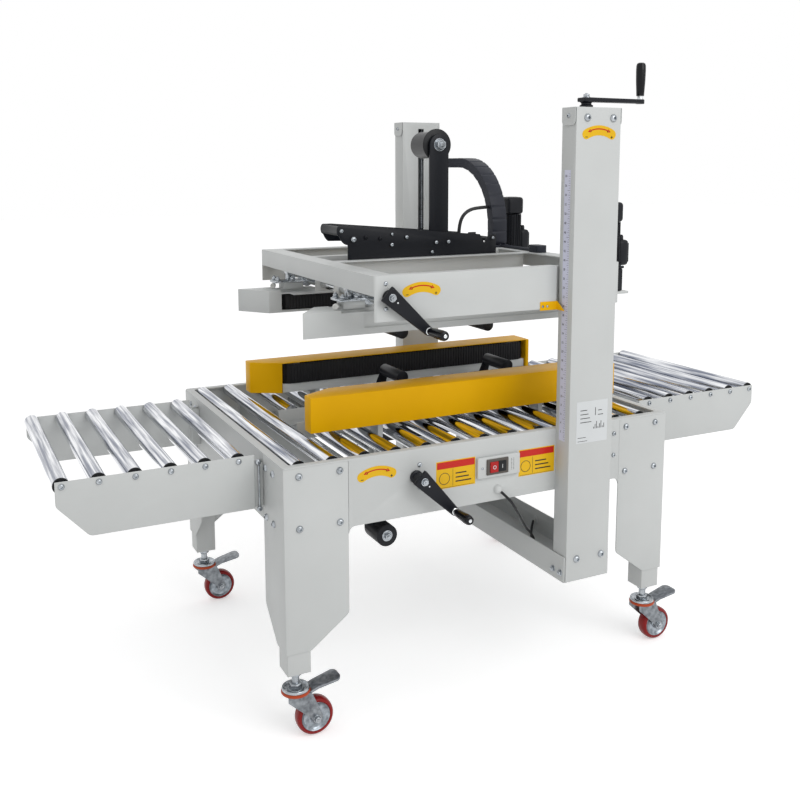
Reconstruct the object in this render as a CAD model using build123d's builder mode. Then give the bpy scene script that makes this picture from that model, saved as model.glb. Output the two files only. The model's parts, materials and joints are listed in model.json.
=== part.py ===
from build123d import *
from math import cos, degrees, radians, sin, tan
import os

os.makedirs("parts", exist_ok=True)

# Frame of the model: X along the conveyor, Y from the operator's side to the rear, Z up, floor at Z = 0

# Bed
bed_length = 960
bed_width = 756
bed_top = 582
bed_panel_height = 141
bed_sheet = 3
rim_width = 18
rim_corner_radius = 6
return_flange = 20
panel_end_radius = 14
gland_x = 10
gland_z = 466
gland_radius = 10
gland_flange = 4
gland_patch_lap = 1
cable_start = 6
cable_exit_y = -140
cable_exit_z = 269
panel_bottom = bed_top - bed_panel_height

# Legs
leg_front_width = 138
leg_side_width = 123
leg_taper_top = 258
leg_bottom = 195
leg_foot_width = 54
leg_corner_radius = 14
seam_gap = 0.5
tube_size = 50
tube_wall = 3
tube_bottom = 148
tube_top = 360

# Casters
wheel_radius = 40
wheel_width = 28
wheel_hub_radius = 26
wheel_hub_recess = 4
wheel_axle_radius = 4
caster_trail = 39
fork_plate = 3
fork_gap = 3
swivel_radius = 28
swivel_plate_bottom = 100
swivel_race_bottom = 106
swivel_race_top = 116
stem_radius = 8
stem_nut_radius = 13
stem_nut_height = 9
pedal_length = 66
pedal_width = 34
pedal_end_radius = 12
cheek_corner_radius = 5
cheek_heel_inset = 6
cheek_heel_drop = 12
cheek_shoulder_half = 13
cheek_shoulder_rise = 4
cheek_foot_half = 8
cheek_foot_drop = 10
race_taper = 28

# Rollers
roller_radius = 16
roller_centre_z = 571.5
roller_shaft_radius = 5
roller_end_gap = 4
shaft_gap = 0.3
bed_roller_pitch = 71.4
bed_roller_inset = 40
full_rollers_each_end = 2

# Extensions
extension_length = 386
extension_gap = 19
extension_width = 521
extension_top = 581
extension_bottom = 467
extension_nose_bottom = 533
extension_nose_chamfer = 60
extension_sheet = 3
extension_corner_radius = 16
extension_roller_pitch = 68.2
extension_roller_first = 12
extension_roller_count = 6
bracket_width = 22

# Masts
mast_centre_x = 220
mast_width = 116
mast_depth = 49
mast_bottom = 240
mast_top = 1284
mast_sheet = 3
mast_slot_width = 18
mast_slot_bottom = 760
mast_slot_top = 1266
mast_cap_height = 22
mast_cap_sheet = 2
screw_offset_x = 15.5
screw_radius = 8
guide_rod_radius = 8
running_gap = 0.3

# Cross channel
channel_height = 60
channel_sheet = 3

# Belt units
belt_unit_left = -362
belt_unit_right = 446
belt_unit_width = 76
carton_half_width = 150
nose_chamfer_x = 71
nose_chamfer_y = 40
cover_bottom = 598
cover_top = 675
cover_sheet = 2
belt_height = 50
belt_gap_below_cover = 3
belt_thickness = 4
belt_recess = 2
pulley_radius = 26
arm_thickness = 12
arm_width = 40
carriage_block_height = 34
carriage_block_width = 44
carriage_block_length = 30
nut_block_size = 28
bed_rod_radius = 10
bed_rod_z = 485
bed_rod_x = 237

# Tape heads
tape_plate_y = 50
tape_arm_half = 8
tape_arm_root = 20
tape_plate_sheet = 3
tape_stud_radius = 6
tape_stud_inset = 24
tape_roller_radius = 15
tape_front_roller_x = -55
tape_rear_roller_x = 246
tape_arm_reach = 60
upper_roller_shift = 60
lower_tape_roller_z = 655
lower_tape_plate_bottom = 502
lower_tape_plate_top = 566
lower_tape_plate_left = -176
lower_tape_plate_right = 300

# Head
head_left = -284
head_right = 330
head_front = 379
head_rear = 312
head_bottom = 854
head_rear_bottom = 866
head_top = 947
head_sheet = 3
head_flange = 25
head_mast_gap = 7
head_corner_radius = 7
carriage_wall_gap = 5
bridge_plate = 6
cross_beam_width = 48
cross_beam_height = 41
cross_beam_lip = 12
rail_offset = 56
rail_width = 22
rail_bottom = 863
head_rod_radius = 10
head_rod_drop = 67
head_rod_left_x = -213
head_rod_right_x = 250
upper_unit_left = -385
upper_unit_right = 440
upper_unit_bottom = 803
upper_unit_top = 858
upper_nose_radius = 12
upper_belt_inset = 96
upper_belt_end_inset = 30
upper_belt_height = 40
upper_plate_drop = 6
upper_plate_sheet = 3
upper_plate_overhang = 30
upper_plate_inset = 117
upper_step_depth = 4
upper_step_height = 14
upper_step_x = -236
upper_clamp_left = -290
screw_lug_width = 28
screw_lug_height = 14
motor_x = 429
motor_y = 216
motor_radius = 29
motor_gearbox_width = 54
motor_gearbox_height = 58
motor_body_height = 113
motor_cap_height = 46
motor_cap_width = 62
motor_cap_corner = 16
motor_top_fillet = 6
motor_plate_width = 74
motor_plate_depth = 96
motor_box_width = 30
motor_box_depth = 26
motor_box_height = 64

# Upper tape cartridge
cartridge_left = -196
cartridge_right = 206
cartridge_bottom = 850
cartridge_left_top = 1026
cartridge_right_top = 993
cartridge_tip_x = -236
cartridge_tip_z = 1014
cartridge_tip_radius = 12
cartridge_neck_radius = 50
cartridge_arc_slack = 0.01
cartridge_bar_gap = 1
cartridge_pin_inset = 12
cartridge_notch_lip = 2
cartridge_neck_z = 981
cartridge_notch_x = 172
cartridge_notch_width = 26
cartridge_notch_depth = 20
hose_stud_x = 139
hose_stud_z = 970
hose_stud_radius = 8
hose_radius = 4.5
upper_tape_roller_z = 765
cartridge_stud_z = 905
reel_arm_x = 46
reel_arm_width = 50
reel_arm_thickness = 8
reel_arm_foot = 40
reel_core_gap = 4
reel_pin_radius = 6
reel_pin_overhang = 12
reel_centre_z = 1212
reel_core_radius = 32
reel_core_length = 78
reel_flange_radius = 38

# Cranks
crank_arm_length = 116
crank_angle = -40
crank_hub_half_width = 17
crank_hub_back = 15
crank_hub_corner = 3
crank_collar_radius = 19
crank_collar_thickness = 6
crank_tip_radius = 11
crank_arm_thickness = 10
crank_grip_length = 84
crank_grip_radius = 10
crank_washer_radius = 8
crank_washer_length = 6
crank_panel_gap = 7
bed_crank_x = -190
bed_crank_z = 524
head_crank_x = -252
head_crank_z = 904
width_screw_radius = 7
lift_crank_length = 145
lift_crank_z = 1306
lift_grip_length = 66
lift_grip_root = 12
lift_arm_waist = 4
lift_hub_radius = 14

# Cable chain, its cable on the head and the pointer of the scale
chain_x = 306
chain_arc_radius = 170
chain_foot_y = 103
chain_top_z = 1170
chain_start_y = 375
chain_link_pitch = 32
chain_link_height = 26
chain_link_width = 44
chain_link_wall = 3
chain_foot_thickness = 3
beam_cable_radius = 4
gland_block_length = 46
gland_block_width = 30
gland_block_height = 18
gland_block_y = -87
pointer_left = 112
pointer_bottom = 851
pointer_height = 19
pointer_sheet = 2
pointer_reach = 27

# Guide roller under the bed
guide_roller_x = -219
guide_roller_y = -300
guide_roller_z = 373
guide_roller_radius = 24
guide_roller_length = 62
guide_bracket_top = 462
guide_bracket_depth = 10

# Mains cable
mains_cable_radius = 3

# Switch box
switch_centre_x = 9
switch_centre_z = 520
switch_plate_width = 107
switch_plate_height = 46
switch_plate_depth = 8

# Derived places
half_length = bed_length / 2
half_width = bed_width / 2
tube_centre_x = half_length - bed_sheet - seam_gap - tube_size / 2
tube_centre_y = half_width - bed_sheet - seam_gap - tube_size / 2
mast_face = half_width + mast_depth
screw_y = half_width + mast_depth / 2
unit_centre_y = carton_half_width + belt_unit_width / 2
front_screw_x = mast_centre_x - screw_offset_x
rear_screw_x = mast_centre_x + screw_offset_x
bed_roller_first_x = bed_roller_inset - half_length
bed_roller_count = int((bed_length - 2 * bed_roller_inset) / bed_roller_pitch) + 1
head_rod_z = head_top - head_rod_drop


def save(piece, name):
    piece.label = name
    export_step(piece, f"parts/{name}.step")


# Bed frame: folded top rim, four panels between the legs and their return flanges
with BuildPart() as bed_frame:
    with BuildSketch(Plane.XY.offset(bed_top - bed_sheet)):
        RectangleRounded(bed_length, bed_width, rim_corner_radius)
        Rectangle(bed_length - 2 * rim_width, bed_width - 2 * rim_width, mode=Mode.SUBTRACT)
    extrude(amount=bed_sheet)
    with BuildSketch(Plane.XY.offset(panel_bottom)):
        Rectangle(bed_length, bed_width)
        Rectangle(bed_length - 2 * bed_sheet, bed_width - 2 * bed_sheet, mode=Mode.SUBTRACT)
        with GridLocations(bed_length, bed_width, 2, 2):
            Rectangle(2 * (leg_front_width + seam_gap), 2 * (leg_side_width + seam_gap), mode=Mode.SUBTRACT)
    extrude(amount=bed_panel_height - bed_sheet)
    with BuildSketch(Plane.XY.offset(panel_bottom)):
        Rectangle(bed_length, bed_width)
        Rectangle(bed_length - 2 * return_flange, bed_width - 2 * return_flange, mode=Mode.SUBTRACT)
        with GridLocations(bed_length, bed_width, 2, 2):
            Rectangle(2 * (leg_front_width + seam_gap), 2 * (leg_side_width + seam_gap), mode=Mode.SUBTRACT)
    extrude(amount=bed_sheet)
    with BuildSketch(Plane.XZ.offset(half_width + 1)):
        with Locations((bed_crank_x, bed_crank_z)):
            Circle(width_screw_radius + running_gap)
    extrude(amount=-(bed_sheet + 2), mode=Mode.SUBTRACT)
    panel_end_x = half_length - leg_front_width - seam_gap
    for outer_y in (-half_width, half_width - bed_sheet):
        for side in (-1, 1):
            with BuildSketch(Plane.XZ.offset(-outer_y)):
                with Locations((side * panel_end_x, panel_bottom)):
                    Rectangle(
                        panel_end_radius,
                        panel_end_radius,
                        align=(Align.MAX if side > 0 else Align.MIN, Align.MAX),
                    )
                with Locations((side * (panel_end_x - panel_end_radius), panel_bottom - panel_end_radius)):
                    Circle(panel_end_radius, mode=Mode.SUBTRACT)
            extrude(amount=-bed_sheet)
    with Locations((gland_x, -half_width, gland_z)):
        Sphere(gland_radius)
    with Locations((gland_x, -half_width, gland_z)):
        Box(
            3 * gland_radius,
            2 * gland_radius,
            3 * gland_radius,
            align=(Align.CENTER, Align.MIN, Align.CENTER),
            mode=Mode.SUBTRACT,
        )
    with BuildSketch(Plane.XZ.offset(half_width)):
        with Locations((gland_x, gland_z)):
            Rectangle(3 * gland_radius + 2 * gland_patch_lap, 3 * gland_radius + 2 * gland_patch_lap)
    extrude(amount=-bed_sheet)
save(bed_frame.part, "bed_frame")

# Inner bed: cross members under the end rollers and the two rails of the tape well
cross_member_x = bed_roller_first_x + (full_rollers_each_end - 0.5) * bed_roller_pitch
cross_member_far_x = bed_roller_first_x + (bed_roller_count - full_rollers_each_end - 0.5) * bed_roller_pitch
well_rail_y = 62
well_rail_top = roller_centre_z + 8
well_rail_bottom = 540
cross_member_bottom = 450
cross_member_top = roller_centre_z - roller_radius - 5
with BuildPart() as bed_rails:
    for x in (cross_member_x, cross_member_far_x):
        with BuildSketch(Plane.XY.offset(cross_member_bottom)):
            with Locations((x, 0)):
                Rectangle(bed_sheet, bed_width - 2 * bed_sheet)
        extrude(amount=cross_member_top - cross_member_bottom)
    for y in (-well_rail_y, well_rail_y):
        with BuildSketch(Plane.XY.offset(well_rail_bottom)):
            with Locations(((cross_member_x + cross_member_far_x) / 2, y)):
                Rectangle(cross_member_far_x - cross_member_x, bed_sheet)
        extrude(amount=well_rail_top - well_rail_bottom)
    bracket_y = guide_roller_y + guide_roller_length
    with BuildSketch(Plane.XZ.offset(-bracket_y)):
        with BuildLine():
            Polyline(
                (cross_member_x, guide_bracket_top),
                (guide_roller_x + guide_roller_radius, guide_bracket_top),
                (guide_roller_x + guide_roller_radius, guide_roller_z),
                (guide_roller_x - guide_roller_radius, guide_roller_z),
                (guide_roller_x - guide_roller_radius, guide_bracket_top - guide_bracket_depth),
                (cross_member_x, guide_bracket_top - guide_bracket_depth),
                close=True,
            )
        make_face()
        with Locations((guide_roller_x, guide_roller_z)):
            Circle(guide_roller_radius)
    extrude(amount=-bed_sheet)
    with BuildSketch(Plane.XZ.offset(-bracket_y)):
        with Locations((guide_roller_x, guide_roller_z)):
            Circle(guide_roller_radius)
    extrude(amount=guide_roller_length)
save(bed_rails.part, "bed_rails")

# Guide rods: two across the bed for the belt carriages, one up each mast beside its lift screw
with BuildPart() as guide_rods:
    with BuildSketch(Plane.XZ.offset(-(half_width - bed_sheet))):
        with Locations((-bed_rod_x, bed_rod_z), (bed_rod_x, bed_rod_z)):
            Circle(bed_rod_radius)
    extrude(amount=bed_width - 2 * bed_sheet)
    with BuildSketch(Plane.XY.offset(mast_bottom + mast_sheet)):
        with Locations((rear_screw_x, -screw_y), (front_screw_x, screw_y)):
            Circle(guide_rod_radius)
    extrude(amount=mast_top - mast_bottom - mast_sheet - mast_cap_sheet)
save(guide_rods.part, "guide_rods")

# Legs: four folded corner sheets that narrow towards the foot, with an inner tube in each
def leg_outline(outer, width):
    """One folded half of a leg, from its outer edge inwards."""
    with BuildSketch() as half:
        with BuildLine():
            Polyline(
                (outer, bed_top - bed_sheet),
                (outer - width, bed_top - bed_sheet),
                (outer - width, leg_taper_top),
                (outer - leg_foot_width, leg_bottom),
                (outer, leg_bottom),
                close=True,
            )
        make_face()
        lower = half.vertices().filter_by_position(Axis.Y, leg_bottom - 1, leg_taper_top + 1)
        inner = lower.filter_by_position(Axis.X, outer - width - 1, outer - leg_foot_width + 1)
        fillet(inner, leg_corner_radius)
    return half.sketch


with BuildPart() as legs:
    with BuildSketch(Plane.XZ.offset(-half_width)):
        add(leg_outline(half_length, leg_front_width))
    extrude(amount=bed_sheet)
    with BuildSketch(Plane.YZ.offset(half_length)):
        add(leg_outline(half_width, leg_side_width))
    extrude(amount=-bed_sheet)
    mirror(about=Plane.YZ)
    mirror(about=Plane.XZ)
save(legs.part, "legs")

with BuildPart() as leg_tubes:
    with BuildSketch(Plane.XY.offset(tube_bottom)):
        with GridLocations(2 * tube_centre_x, 2 * tube_centre_y, 2, 2):
            Rectangle(tube_size, tube_size)
    extrude(amount=tube_top - tube_bottom)
    with BuildSketch(Plane.XY.offset(tube_bottom + tube_wall)):
        with GridLocations(2 * tube_centre_x, 2 * tube_centre_y, 2, 2):
            Rectangle(tube_size - 2 * tube_wall, tube_size - 2 * tube_wall)
    extrude(amount=tube_top - tube_bottom, mode=Mode.SUBTRACT)
save(leg_tubes.part, "leg_tubes")

# Caster stems: threaded stem, nut and upper race under each leg tube
with BuildPart() as caster_stems:
    with GridLocations(2 * tube_centre_x, 2 * tube_centre_y, 2, 2):
        with Locations((0, 0, swivel_race_top)):
            Cylinder(
                stem_radius,
                tube_bottom - swivel_race_top,
                align=(Align.CENTER, Align.CENTER, Align.MIN),
            )
    with BuildSketch(Plane.XY.offset(tube_bottom - stem_nut_height)):
        with GridLocations(2 * tube_centre_x, 2 * tube_centre_y, 2, 2):
            RegularPolygon(stem_nut_radius, 6)
    extrude(amount=stem_nut_height)
    with BuildSketch(Plane.XY.offset(swivel_race_bottom)):
        with GridLocations(2 * tube_centre_x, 2 * tube_centre_y, 2, 2):
            Circle(swivel_radius)
    extrude(amount=swivel_race_top - swivel_race_bottom, taper=race_taper)
save(caster_stems.part, "caster_stems")


def caster_fork(x, y):
    """Swivel plate, two tapered cheeks and the brake pedal, trailing towards +X."""
    cheek_y = wheel_width / 2 + fork_gap
    with BuildPart() as fork:
        with BuildSketch(Plane.XY.offset(swivel_plate_bottom)):
            with Locations((x, y)):
                Circle(swivel_radius)
        extrude(amount=swivel_race_bottom - running_gap - swivel_plate_bottom)
        for side in (-1, 1):
            inner_y = y + side * cheek_y
            with BuildSketch(Plane.XZ.offset(-inner_y)) as cheek:
                with BuildLine():
                    Polyline(
                        (x - swivel_radius + cheek_heel_inset, swivel_plate_bottom),
                        (x + swivel_radius, swivel_plate_bottom),
                        (x + caster_trail + cheek_shoulder_half, wheel_radius + cheek_shoulder_rise),
                        (x + caster_trail + cheek_foot_half, wheel_radius - cheek_foot_drop),
                        (x + caster_trail - cheek_foot_half, wheel_radius - cheek_foot_drop),
                        (x + caster_trail - cheek_shoulder_half, wheel_radius + cheek_shoulder_rise),
                        (x - swivel_radius + cheek_heel_inset, swivel_plate_bottom - cheek_heel_drop),
                        close=True,
                    )
                make_face()
                fillet(
                    cheek.vertices().filter_by_position(Axis.Y, 0, swivel_plate_bottom / 2),
                    cheek_corner_radius,
                )
            extrude(amount=-side * fork_plate)
        with BuildSketch(Plane.XZ.offset(-(y + cheek_y + fork_plate))):
            with Locations((x + caster_trail, wheel_radius)):
                Circle(wheel_axle_radius)
        extrude(amount=2 * (cheek_y + fork_plate))
        with BuildSketch(Plane.XZ.offset(-(y + pedal_width / 2))):
            with BuildLine():
                Polyline(
                    (x + swivel_radius - 4, swivel_plate_bottom + 1),
                    (x + swivel_radius + 14, swivel_plate_bottom + 8),
                    (x + swivel_radius + pedal_length, swivel_plate_bottom + 18),
                    (x + swivel_radius + pedal_length, swivel_plate_bottom + 14),
                    (x + swivel_radius + 16, swivel_plate_bottom + 3),
                    (x + swivel_radius - 2, swivel_plate_bottom - 4),
                    close=True,
                )
            make_face()
        extrude(amount=pedal_width)
        fillet(fork.edges().filter_by(Axis.Z).sort_by(Axis.X)[-2:], pedal_end_radius)
    return fork.part


def caster_wheel(x, y):
    """Wheel with a rounded tread and recessed hub faces, on the fork's axle."""
    half = wheel_width / 2
    with BuildPart() as wheel:
        with BuildSketch(Plane.YZ.offset(x)) as section:
            with BuildLine():
                Polyline(
                    (-half + wheel_hub_recess, wheel_axle_radius + running_gap),
                    (half - wheel_hub_recess, wheel_axle_radius + running_gap),
                    (half - wheel_hub_recess, wheel_hub_radius),
                    (half, wheel_hub_radius + 2),
                    (half, wheel_radius - 6),
                    (half - 6, wheel_radius),
                    (-half + 6, wheel_radius),
                    (-half, wheel_radius - 6),
                    (-half, wheel_hub_radius + 2),
                    (-half + wheel_hub_recess, wheel_hub_radius),
                    close=True,
                )
            make_face()
        revolve(axis=Axis((x, 0, 0), (0, 1, 0)))
    return wheel.part.moved(Location((caster_trail, y, wheel_radius)))


caster_places = {
    "front_left": (-tube_centre_x, -tube_centre_y),
    "front_right": (tube_centre_x, -tube_centre_y),
    "rear_left": (-tube_centre_x, tube_centre_y),
    "rear_right": (tube_centre_x, tube_centre_y),
}
for corner, (corner_x, corner_y) in caster_places.items():
    save(caster_fork(corner_x, corner_y), f"{corner}_caster_fork")
    save(caster_wheel(corner_x, corner_y), f"{corner}_caster_wheel")


def roller(x, tube_start, tube_end, shaft_start, shaft_end):
    """Roller along Y: a tube between two ends, on a shaft that reaches what carries it."""
    with BuildPart() as tube:
        for start, end, radius in (
            (tube_start, tube_end, roller_radius),
            (shaft_start, shaft_end, roller_shaft_radius),
        ):
            with BuildSketch(Plane.XZ.offset(-end)):
                with Locations((x, roller_centre_z)):
                    Circle(radius)
            extrude(amount=end - start)
    return tube.part


# Bed rollers: full ones at both ends, split ones beside the tape well
bed_roller_end = half_width - rim_width - roller_end_gap
bed_shaft_end = half_width - bed_sheet - shaft_gap
well_shaft_end = well_rail_y + bed_sheet / 2 + shaft_gap
well_roller_end = well_rail_y + bed_sheet / 2 + roller_end_gap
with BuildPart() as bed_rollers:
    for index in range(bed_roller_count):
        roller_x = bed_roller_first_x + index * bed_roller_pitch
        at_end = min(index, bed_roller_count - 1 - index) < full_rollers_each_end
        if at_end:
            add(roller(roller_x, -bed_roller_end, bed_roller_end, -bed_shaft_end, bed_shaft_end))
        else:
            add(roller(roller_x, -bed_roller_end, -well_roller_end, -bed_shaft_end, -well_shaft_end))
            add(roller(roller_x, well_roller_end, bed_roller_end, well_shaft_end, bed_shaft_end))
save(bed_rollers.part, "bed_rollers")

# Extensions: two side plates with chamfered noses, folded inner ends and slotted brackets
extension_inner_x = half_length + extension_gap
extension_outer_x = extension_inner_x + extension_length
extension_shaft_end = extension_width / 2 - extension_sheet - shaft_gap
extension_roller_end = extension_width / 2 - extension_sheet - roller_end_gap


def extension_frame(direction):
    """Side plates of one extension, its folded inner ends and its brackets; direction is -1 or 1 along X."""
    with BuildPart() as frame:
        for side in (-1, 1):
            outer_y = side * extension_width / 2
            with BuildSketch(Plane.XZ.offset(-outer_y)) as side_plate:
                with BuildLine():
                    Polyline(
                        (extension_inner_x, extension_top),
                        (extension_outer_x, extension_top),
                        (extension_outer_x, extension_nose_bottom),
                        (extension_outer_x - extension_nose_chamfer, extension_bottom),
                        (extension_inner_x, extension_bottom),
                        close=True,
                    )
                make_face()
                nose = side_plate.vertices().filter_by_position(Axis.Y, 0, extension_nose_bottom + 1)
                fillet(
                    nose.filter_by_position(Axis.X, extension_inner_x + 1, extension_outer_x + 1),
                    extension_corner_radius,
                )
            extrude(amount=side * extension_sheet)
            with BuildSketch(Plane.XY.offset(extension_bottom)):
                with Locations((extension_inner_x, outer_y)):
                    Rectangle(
                        extension_sheet,
                        bracket_width + extension_sheet,
                        align=(Align.MIN, Align.MAX if side > 0 else Align.MIN),
                    )
            extrude(amount=extension_top - roller_radius - extension_bottom)
            with BuildSketch(Plane.XY.offset(extension_bottom + extension_sheet)):
                with Locations((half_length, outer_y - side * extension_sheet)):
                    Rectangle(
                        extension_gap,
                        bracket_width,
                        align=(Align.MIN, Align.MAX if side > 0 else Align.MIN),
                    )
                    with Locations((0, -side * extension_sheet)):
                        Rectangle(
                            extension_gap,
                            bracket_width - 2 * extension_sheet,
                            align=(Align.MIN, Align.MAX if side > 0 else Align.MIN),
                            mode=Mode.SUBTRACT,
                        )
            extrude(amount=extension_top - roller_radius - extension_bottom - 2 * extension_sheet)
        if direction < 0:
            mirror(about=Plane.YZ, mode=Mode.REPLACE)
    return frame.part


for end, direction in (("left", -1), ("right", 1)):
    save(extension_frame(direction), f"{end}_extension_frame")
    for index in range(extension_roller_count):
        distance = extension_outer_x - extension_roller_first - index * extension_roller_pitch
        piece = roller(
            direction * distance,
            -extension_roller_end,
            extension_roller_end,
            -extension_shaft_end,
            extension_shaft_end,
        )
        save(piece, f"{end}_extension_roller_{index + 1}")


# Masts: folded box sections with a slotted inner face, closed by a pressed cap
def front_mast_shape():
    """Mast on the operator's side; the rear one is the same turned half a turn."""
    face_y = -mast_face
    inner_y = -half_width
    cap_width = mast_width + 2 * mast_cap_sheet
    with BuildPart() as mast:
        with BuildSketch(Plane.XY.offset(mast_bottom)):
            with Locations((mast_centre_x, (face_y + inner_y) / 2)):
                Rectangle(mast_width, mast_depth)
                Rectangle(mast_width - 2 * mast_sheet, mast_depth - 2 * mast_sheet, mode=Mode.SUBTRACT)
        extrude(amount=mast_top - mast_bottom - mast_cap_sheet)
        with BuildSketch(Plane.XZ.offset(-inner_y - mast_sheet)):
            with Locations((mast_centre_x, (mast_slot_bottom + mast_slot_top) / 2)):
                Rectangle(mast_slot_width, mast_slot_top - mast_slot_bottom)
        extrude(amount=-2 * mast_sheet, both=True, mode=Mode.SUBTRACT)
        with BuildSketch(Plane.XY.offset(mast_bottom)):
            with Locations((mast_centre_x, (face_y + inner_y) / 2)):
                Rectangle(mast_width - 2 * mast_sheet, mast_depth - 2 * mast_sheet)
        extrude(amount=mast_sheet)
        with BuildSketch(Plane.XY.offset(mast_top - mast_cap_sheet)):
            with Locations((mast_centre_x, -screw_y)):
                RectangleRounded(cap_width, mast_depth, 3)
            with Locations((front_screw_x, -screw_y)):
                Circle(screw_radius + running_gap, mode=Mode.SUBTRACT)
        extrude(amount=mast_cap_sheet)
        with BuildSketch(Plane.XY.offset(mast_top - mast_cap_height)):
            with Locations((mast_centre_x, -screw_y)):
                with GridLocations(cap_width - mast_cap_sheet, 1, 2, 1):
                    Rectangle(mast_cap_sheet, mast_depth - 8)
        extrude(amount=mast_cap_height)
    return mast.part


front_mast_part = front_mast_shape()
half_turn = Location((2 * mast_centre_x, 0, 0), (0, 0, 180))
save(front_mast_part, "front_mast")
save(front_mast_part.moved(half_turn), "rear_mast")

# Cross channel: open-topped, clasping the feet of both masts
channel_outer_width = mast_width + 2 * (channel_sheet + seam_gap)
with BuildPart() as cross_channel:
    with BuildSketch(Plane.XY.offset(mast_bottom - channel_sheet)):
        with Locations((mast_centre_x, 0)):
            Rectangle(channel_outer_width, 2 * mast_face - 2 * channel_sheet)
    extrude(amount=channel_height)
    with BuildSketch(Plane.XY.offset(mast_bottom)):
        with Locations((mast_centre_x, 0)):
            Rectangle(channel_outer_width - 2 * channel_sheet, 2 * mast_face)
    extrude(amount=channel_height, mode=Mode.SUBTRACT)
    with BuildSketch(Plane.YZ.offset(mast_centre_x + channel_outer_width / 2 - channel_sheet)):
        with Locations((cable_exit_y, cable_exit_z)):
            Circle(gland_radius)
    extrude(amount=-gland_flange)
save(cross_channel.part, "cross_channel")

# Lift screws: the rear one ends under its cap, the front one carries the crank at its top
with BuildPart() as rear_lift_screw:
    with BuildSketch(Plane.XY.offset(mast_bottom + mast_sheet + running_gap)):
        with Locations((rear_screw_x, screw_y)):
            Circle(screw_radius)
    extrude(amount=mast_top - mast_cap_sheet - mast_bottom - mast_sheet - 2 * running_gap)
save(rear_lift_screw.part, "rear_lift_screw")

lift_arm_bottom = lift_crank_z - crank_arm_thickness
with BuildPart() as lift_crank:
    with BuildSketch(Plane.XY.offset(mast_bottom + mast_sheet + running_gap)):
        with Locations((front_screw_x, -screw_y)):
            Circle(screw_radius)
    extrude(amount=lift_crank_z - mast_bottom - mast_sheet - running_gap)
    with BuildSketch(Plane.XY.offset(lift_arm_bottom)):
        with Locations((front_screw_x, -screw_y)):
            Circle(lift_hub_radius)
        with Locations((front_screw_x + lift_crank_length, -screw_y)):
            Circle(crank_tip_radius)
        with Locations((front_screw_x + lift_crank_length / 2, -screw_y)):
            Rectangle(lift_crank_length, 2 * crank_tip_radius - lift_arm_waist)
    extrude(amount=crank_arm_thickness)
    with BuildSketch(Plane.XY.offset(lift_crank_z)):
        with Locations((front_screw_x + lift_crank_length, -screw_y)):
            Circle(crank_grip_radius)
    extrude(amount=lift_grip_length + lift_grip_root, taper=1)
save(lift_crank.part, "lift_crank")


def panel_crank(x, z, face_y, rear_y):
    """Crank on a panel: screw through to the rear panel, tapered arm and a grip towards the operator."""
    arm_face = face_y - crank_panel_gap
    along = (cos(radians(crank_angle)), 0, sin(radians(crank_angle)))
    arm_plane = Plane(origin=(x, arm_face, z), x_dir=along, z_dir=(0, -1, 0))
    grip_start = crank_arm_thickness + crank_washer_length
    with BuildPart() as crank:
        with BuildSketch(arm_plane) as arm:
            with BuildLine():
                Polyline(
                    (-crank_hub_back, -crank_hub_half_width),
                    (crank_hub_back, -crank_hub_half_width),
                    (crank_arm_length, -crank_tip_radius),
                    (crank_arm_length, crank_tip_radius),
                    (crank_hub_back, crank_hub_half_width),
                    (-crank_hub_back, crank_hub_half_width),
                    close=True,
                )
            make_face()
            fillet(arm.vertices().sort_by(Axis.X)[:2], crank_hub_corner)
            with Locations((crank_arm_length, 0)):
                Circle(crank_tip_radius)
        extrude(amount=crank_arm_thickness)
        with BuildSketch(arm_plane):
            Circle(crank_collar_radius)
        extrude(amount=-crank_collar_thickness)
        with BuildSketch(arm_plane.offset(crank_arm_thickness)):
            with Locations((crank_arm_length, 0)):
                Circle(crank_washer_radius)
        extrude(amount=crank_washer_length)
        with BuildSketch(arm_plane.offset(grip_start)):
            with Locations((crank_arm_length, 0)):
                Circle(crank_grip_radius)
        extrude(amount=crank_grip_length - crank_washer_length, taper=1)
        with BuildSketch(arm_plane):
            Circle(width_screw_radius)
        extrude(amount=-(rear_y - arm_face))
    return crank.part


bed_screw_end = half_width - bed_sheet - shaft_gap
head_screw_end = head_rear - head_sheet - shaft_gap
save(panel_crank(bed_crank_x, bed_crank_z, -half_width, bed_screw_end), "bed_crank")
save(panel_crank(head_crank_x, head_crank_z, -head_front, head_screw_end), "head_crank")


# Lower belt units
def cover_outline(left, right, inner_y, outer_y):
    """Plan outline of a belt cover: its nose leads cartons in."""
    return Polyline(
        (left, -outer_y),
        (right, -outer_y),
        (right, -inner_y),
        (left + nose_chamfer_x, -inner_y),
        (left, -(inner_y + nose_chamfer_y)),
        close=True,
    )


belt_outer_y = carton_half_width + belt_unit_width
belt_run_left = belt_unit_left + nose_chamfer_x
belt_run_right = belt_unit_right - 10
belt_bottom = cover_top - cover_sheet - belt_gap_below_cover - belt_height
with BuildPart() as near_belt_cover:
    with BuildSketch(Plane.XY.offset(cover_bottom)):
        with BuildLine():
            cover_outline(belt_unit_left, belt_unit_right, carton_half_width, belt_outer_y)
        make_face()
    extrude(amount=cover_top - cover_bottom)
    with BuildSketch(Plane.XY.offset(cover_bottom)):
        with Locations(((belt_run_left + belt_run_right) / 2, -carton_half_width + 5)):
            Rectangle(
                belt_run_right - belt_run_left,
                belt_unit_width - cover_sheet + 5,
                align=(Align.CENTER, Align.MAX),
            )
    extrude(amount=cover_top - cover_sheet - cover_bottom, mode=Mode.SUBTRACT)
save(near_belt_cover.part, "near_belt_cover")

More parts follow.
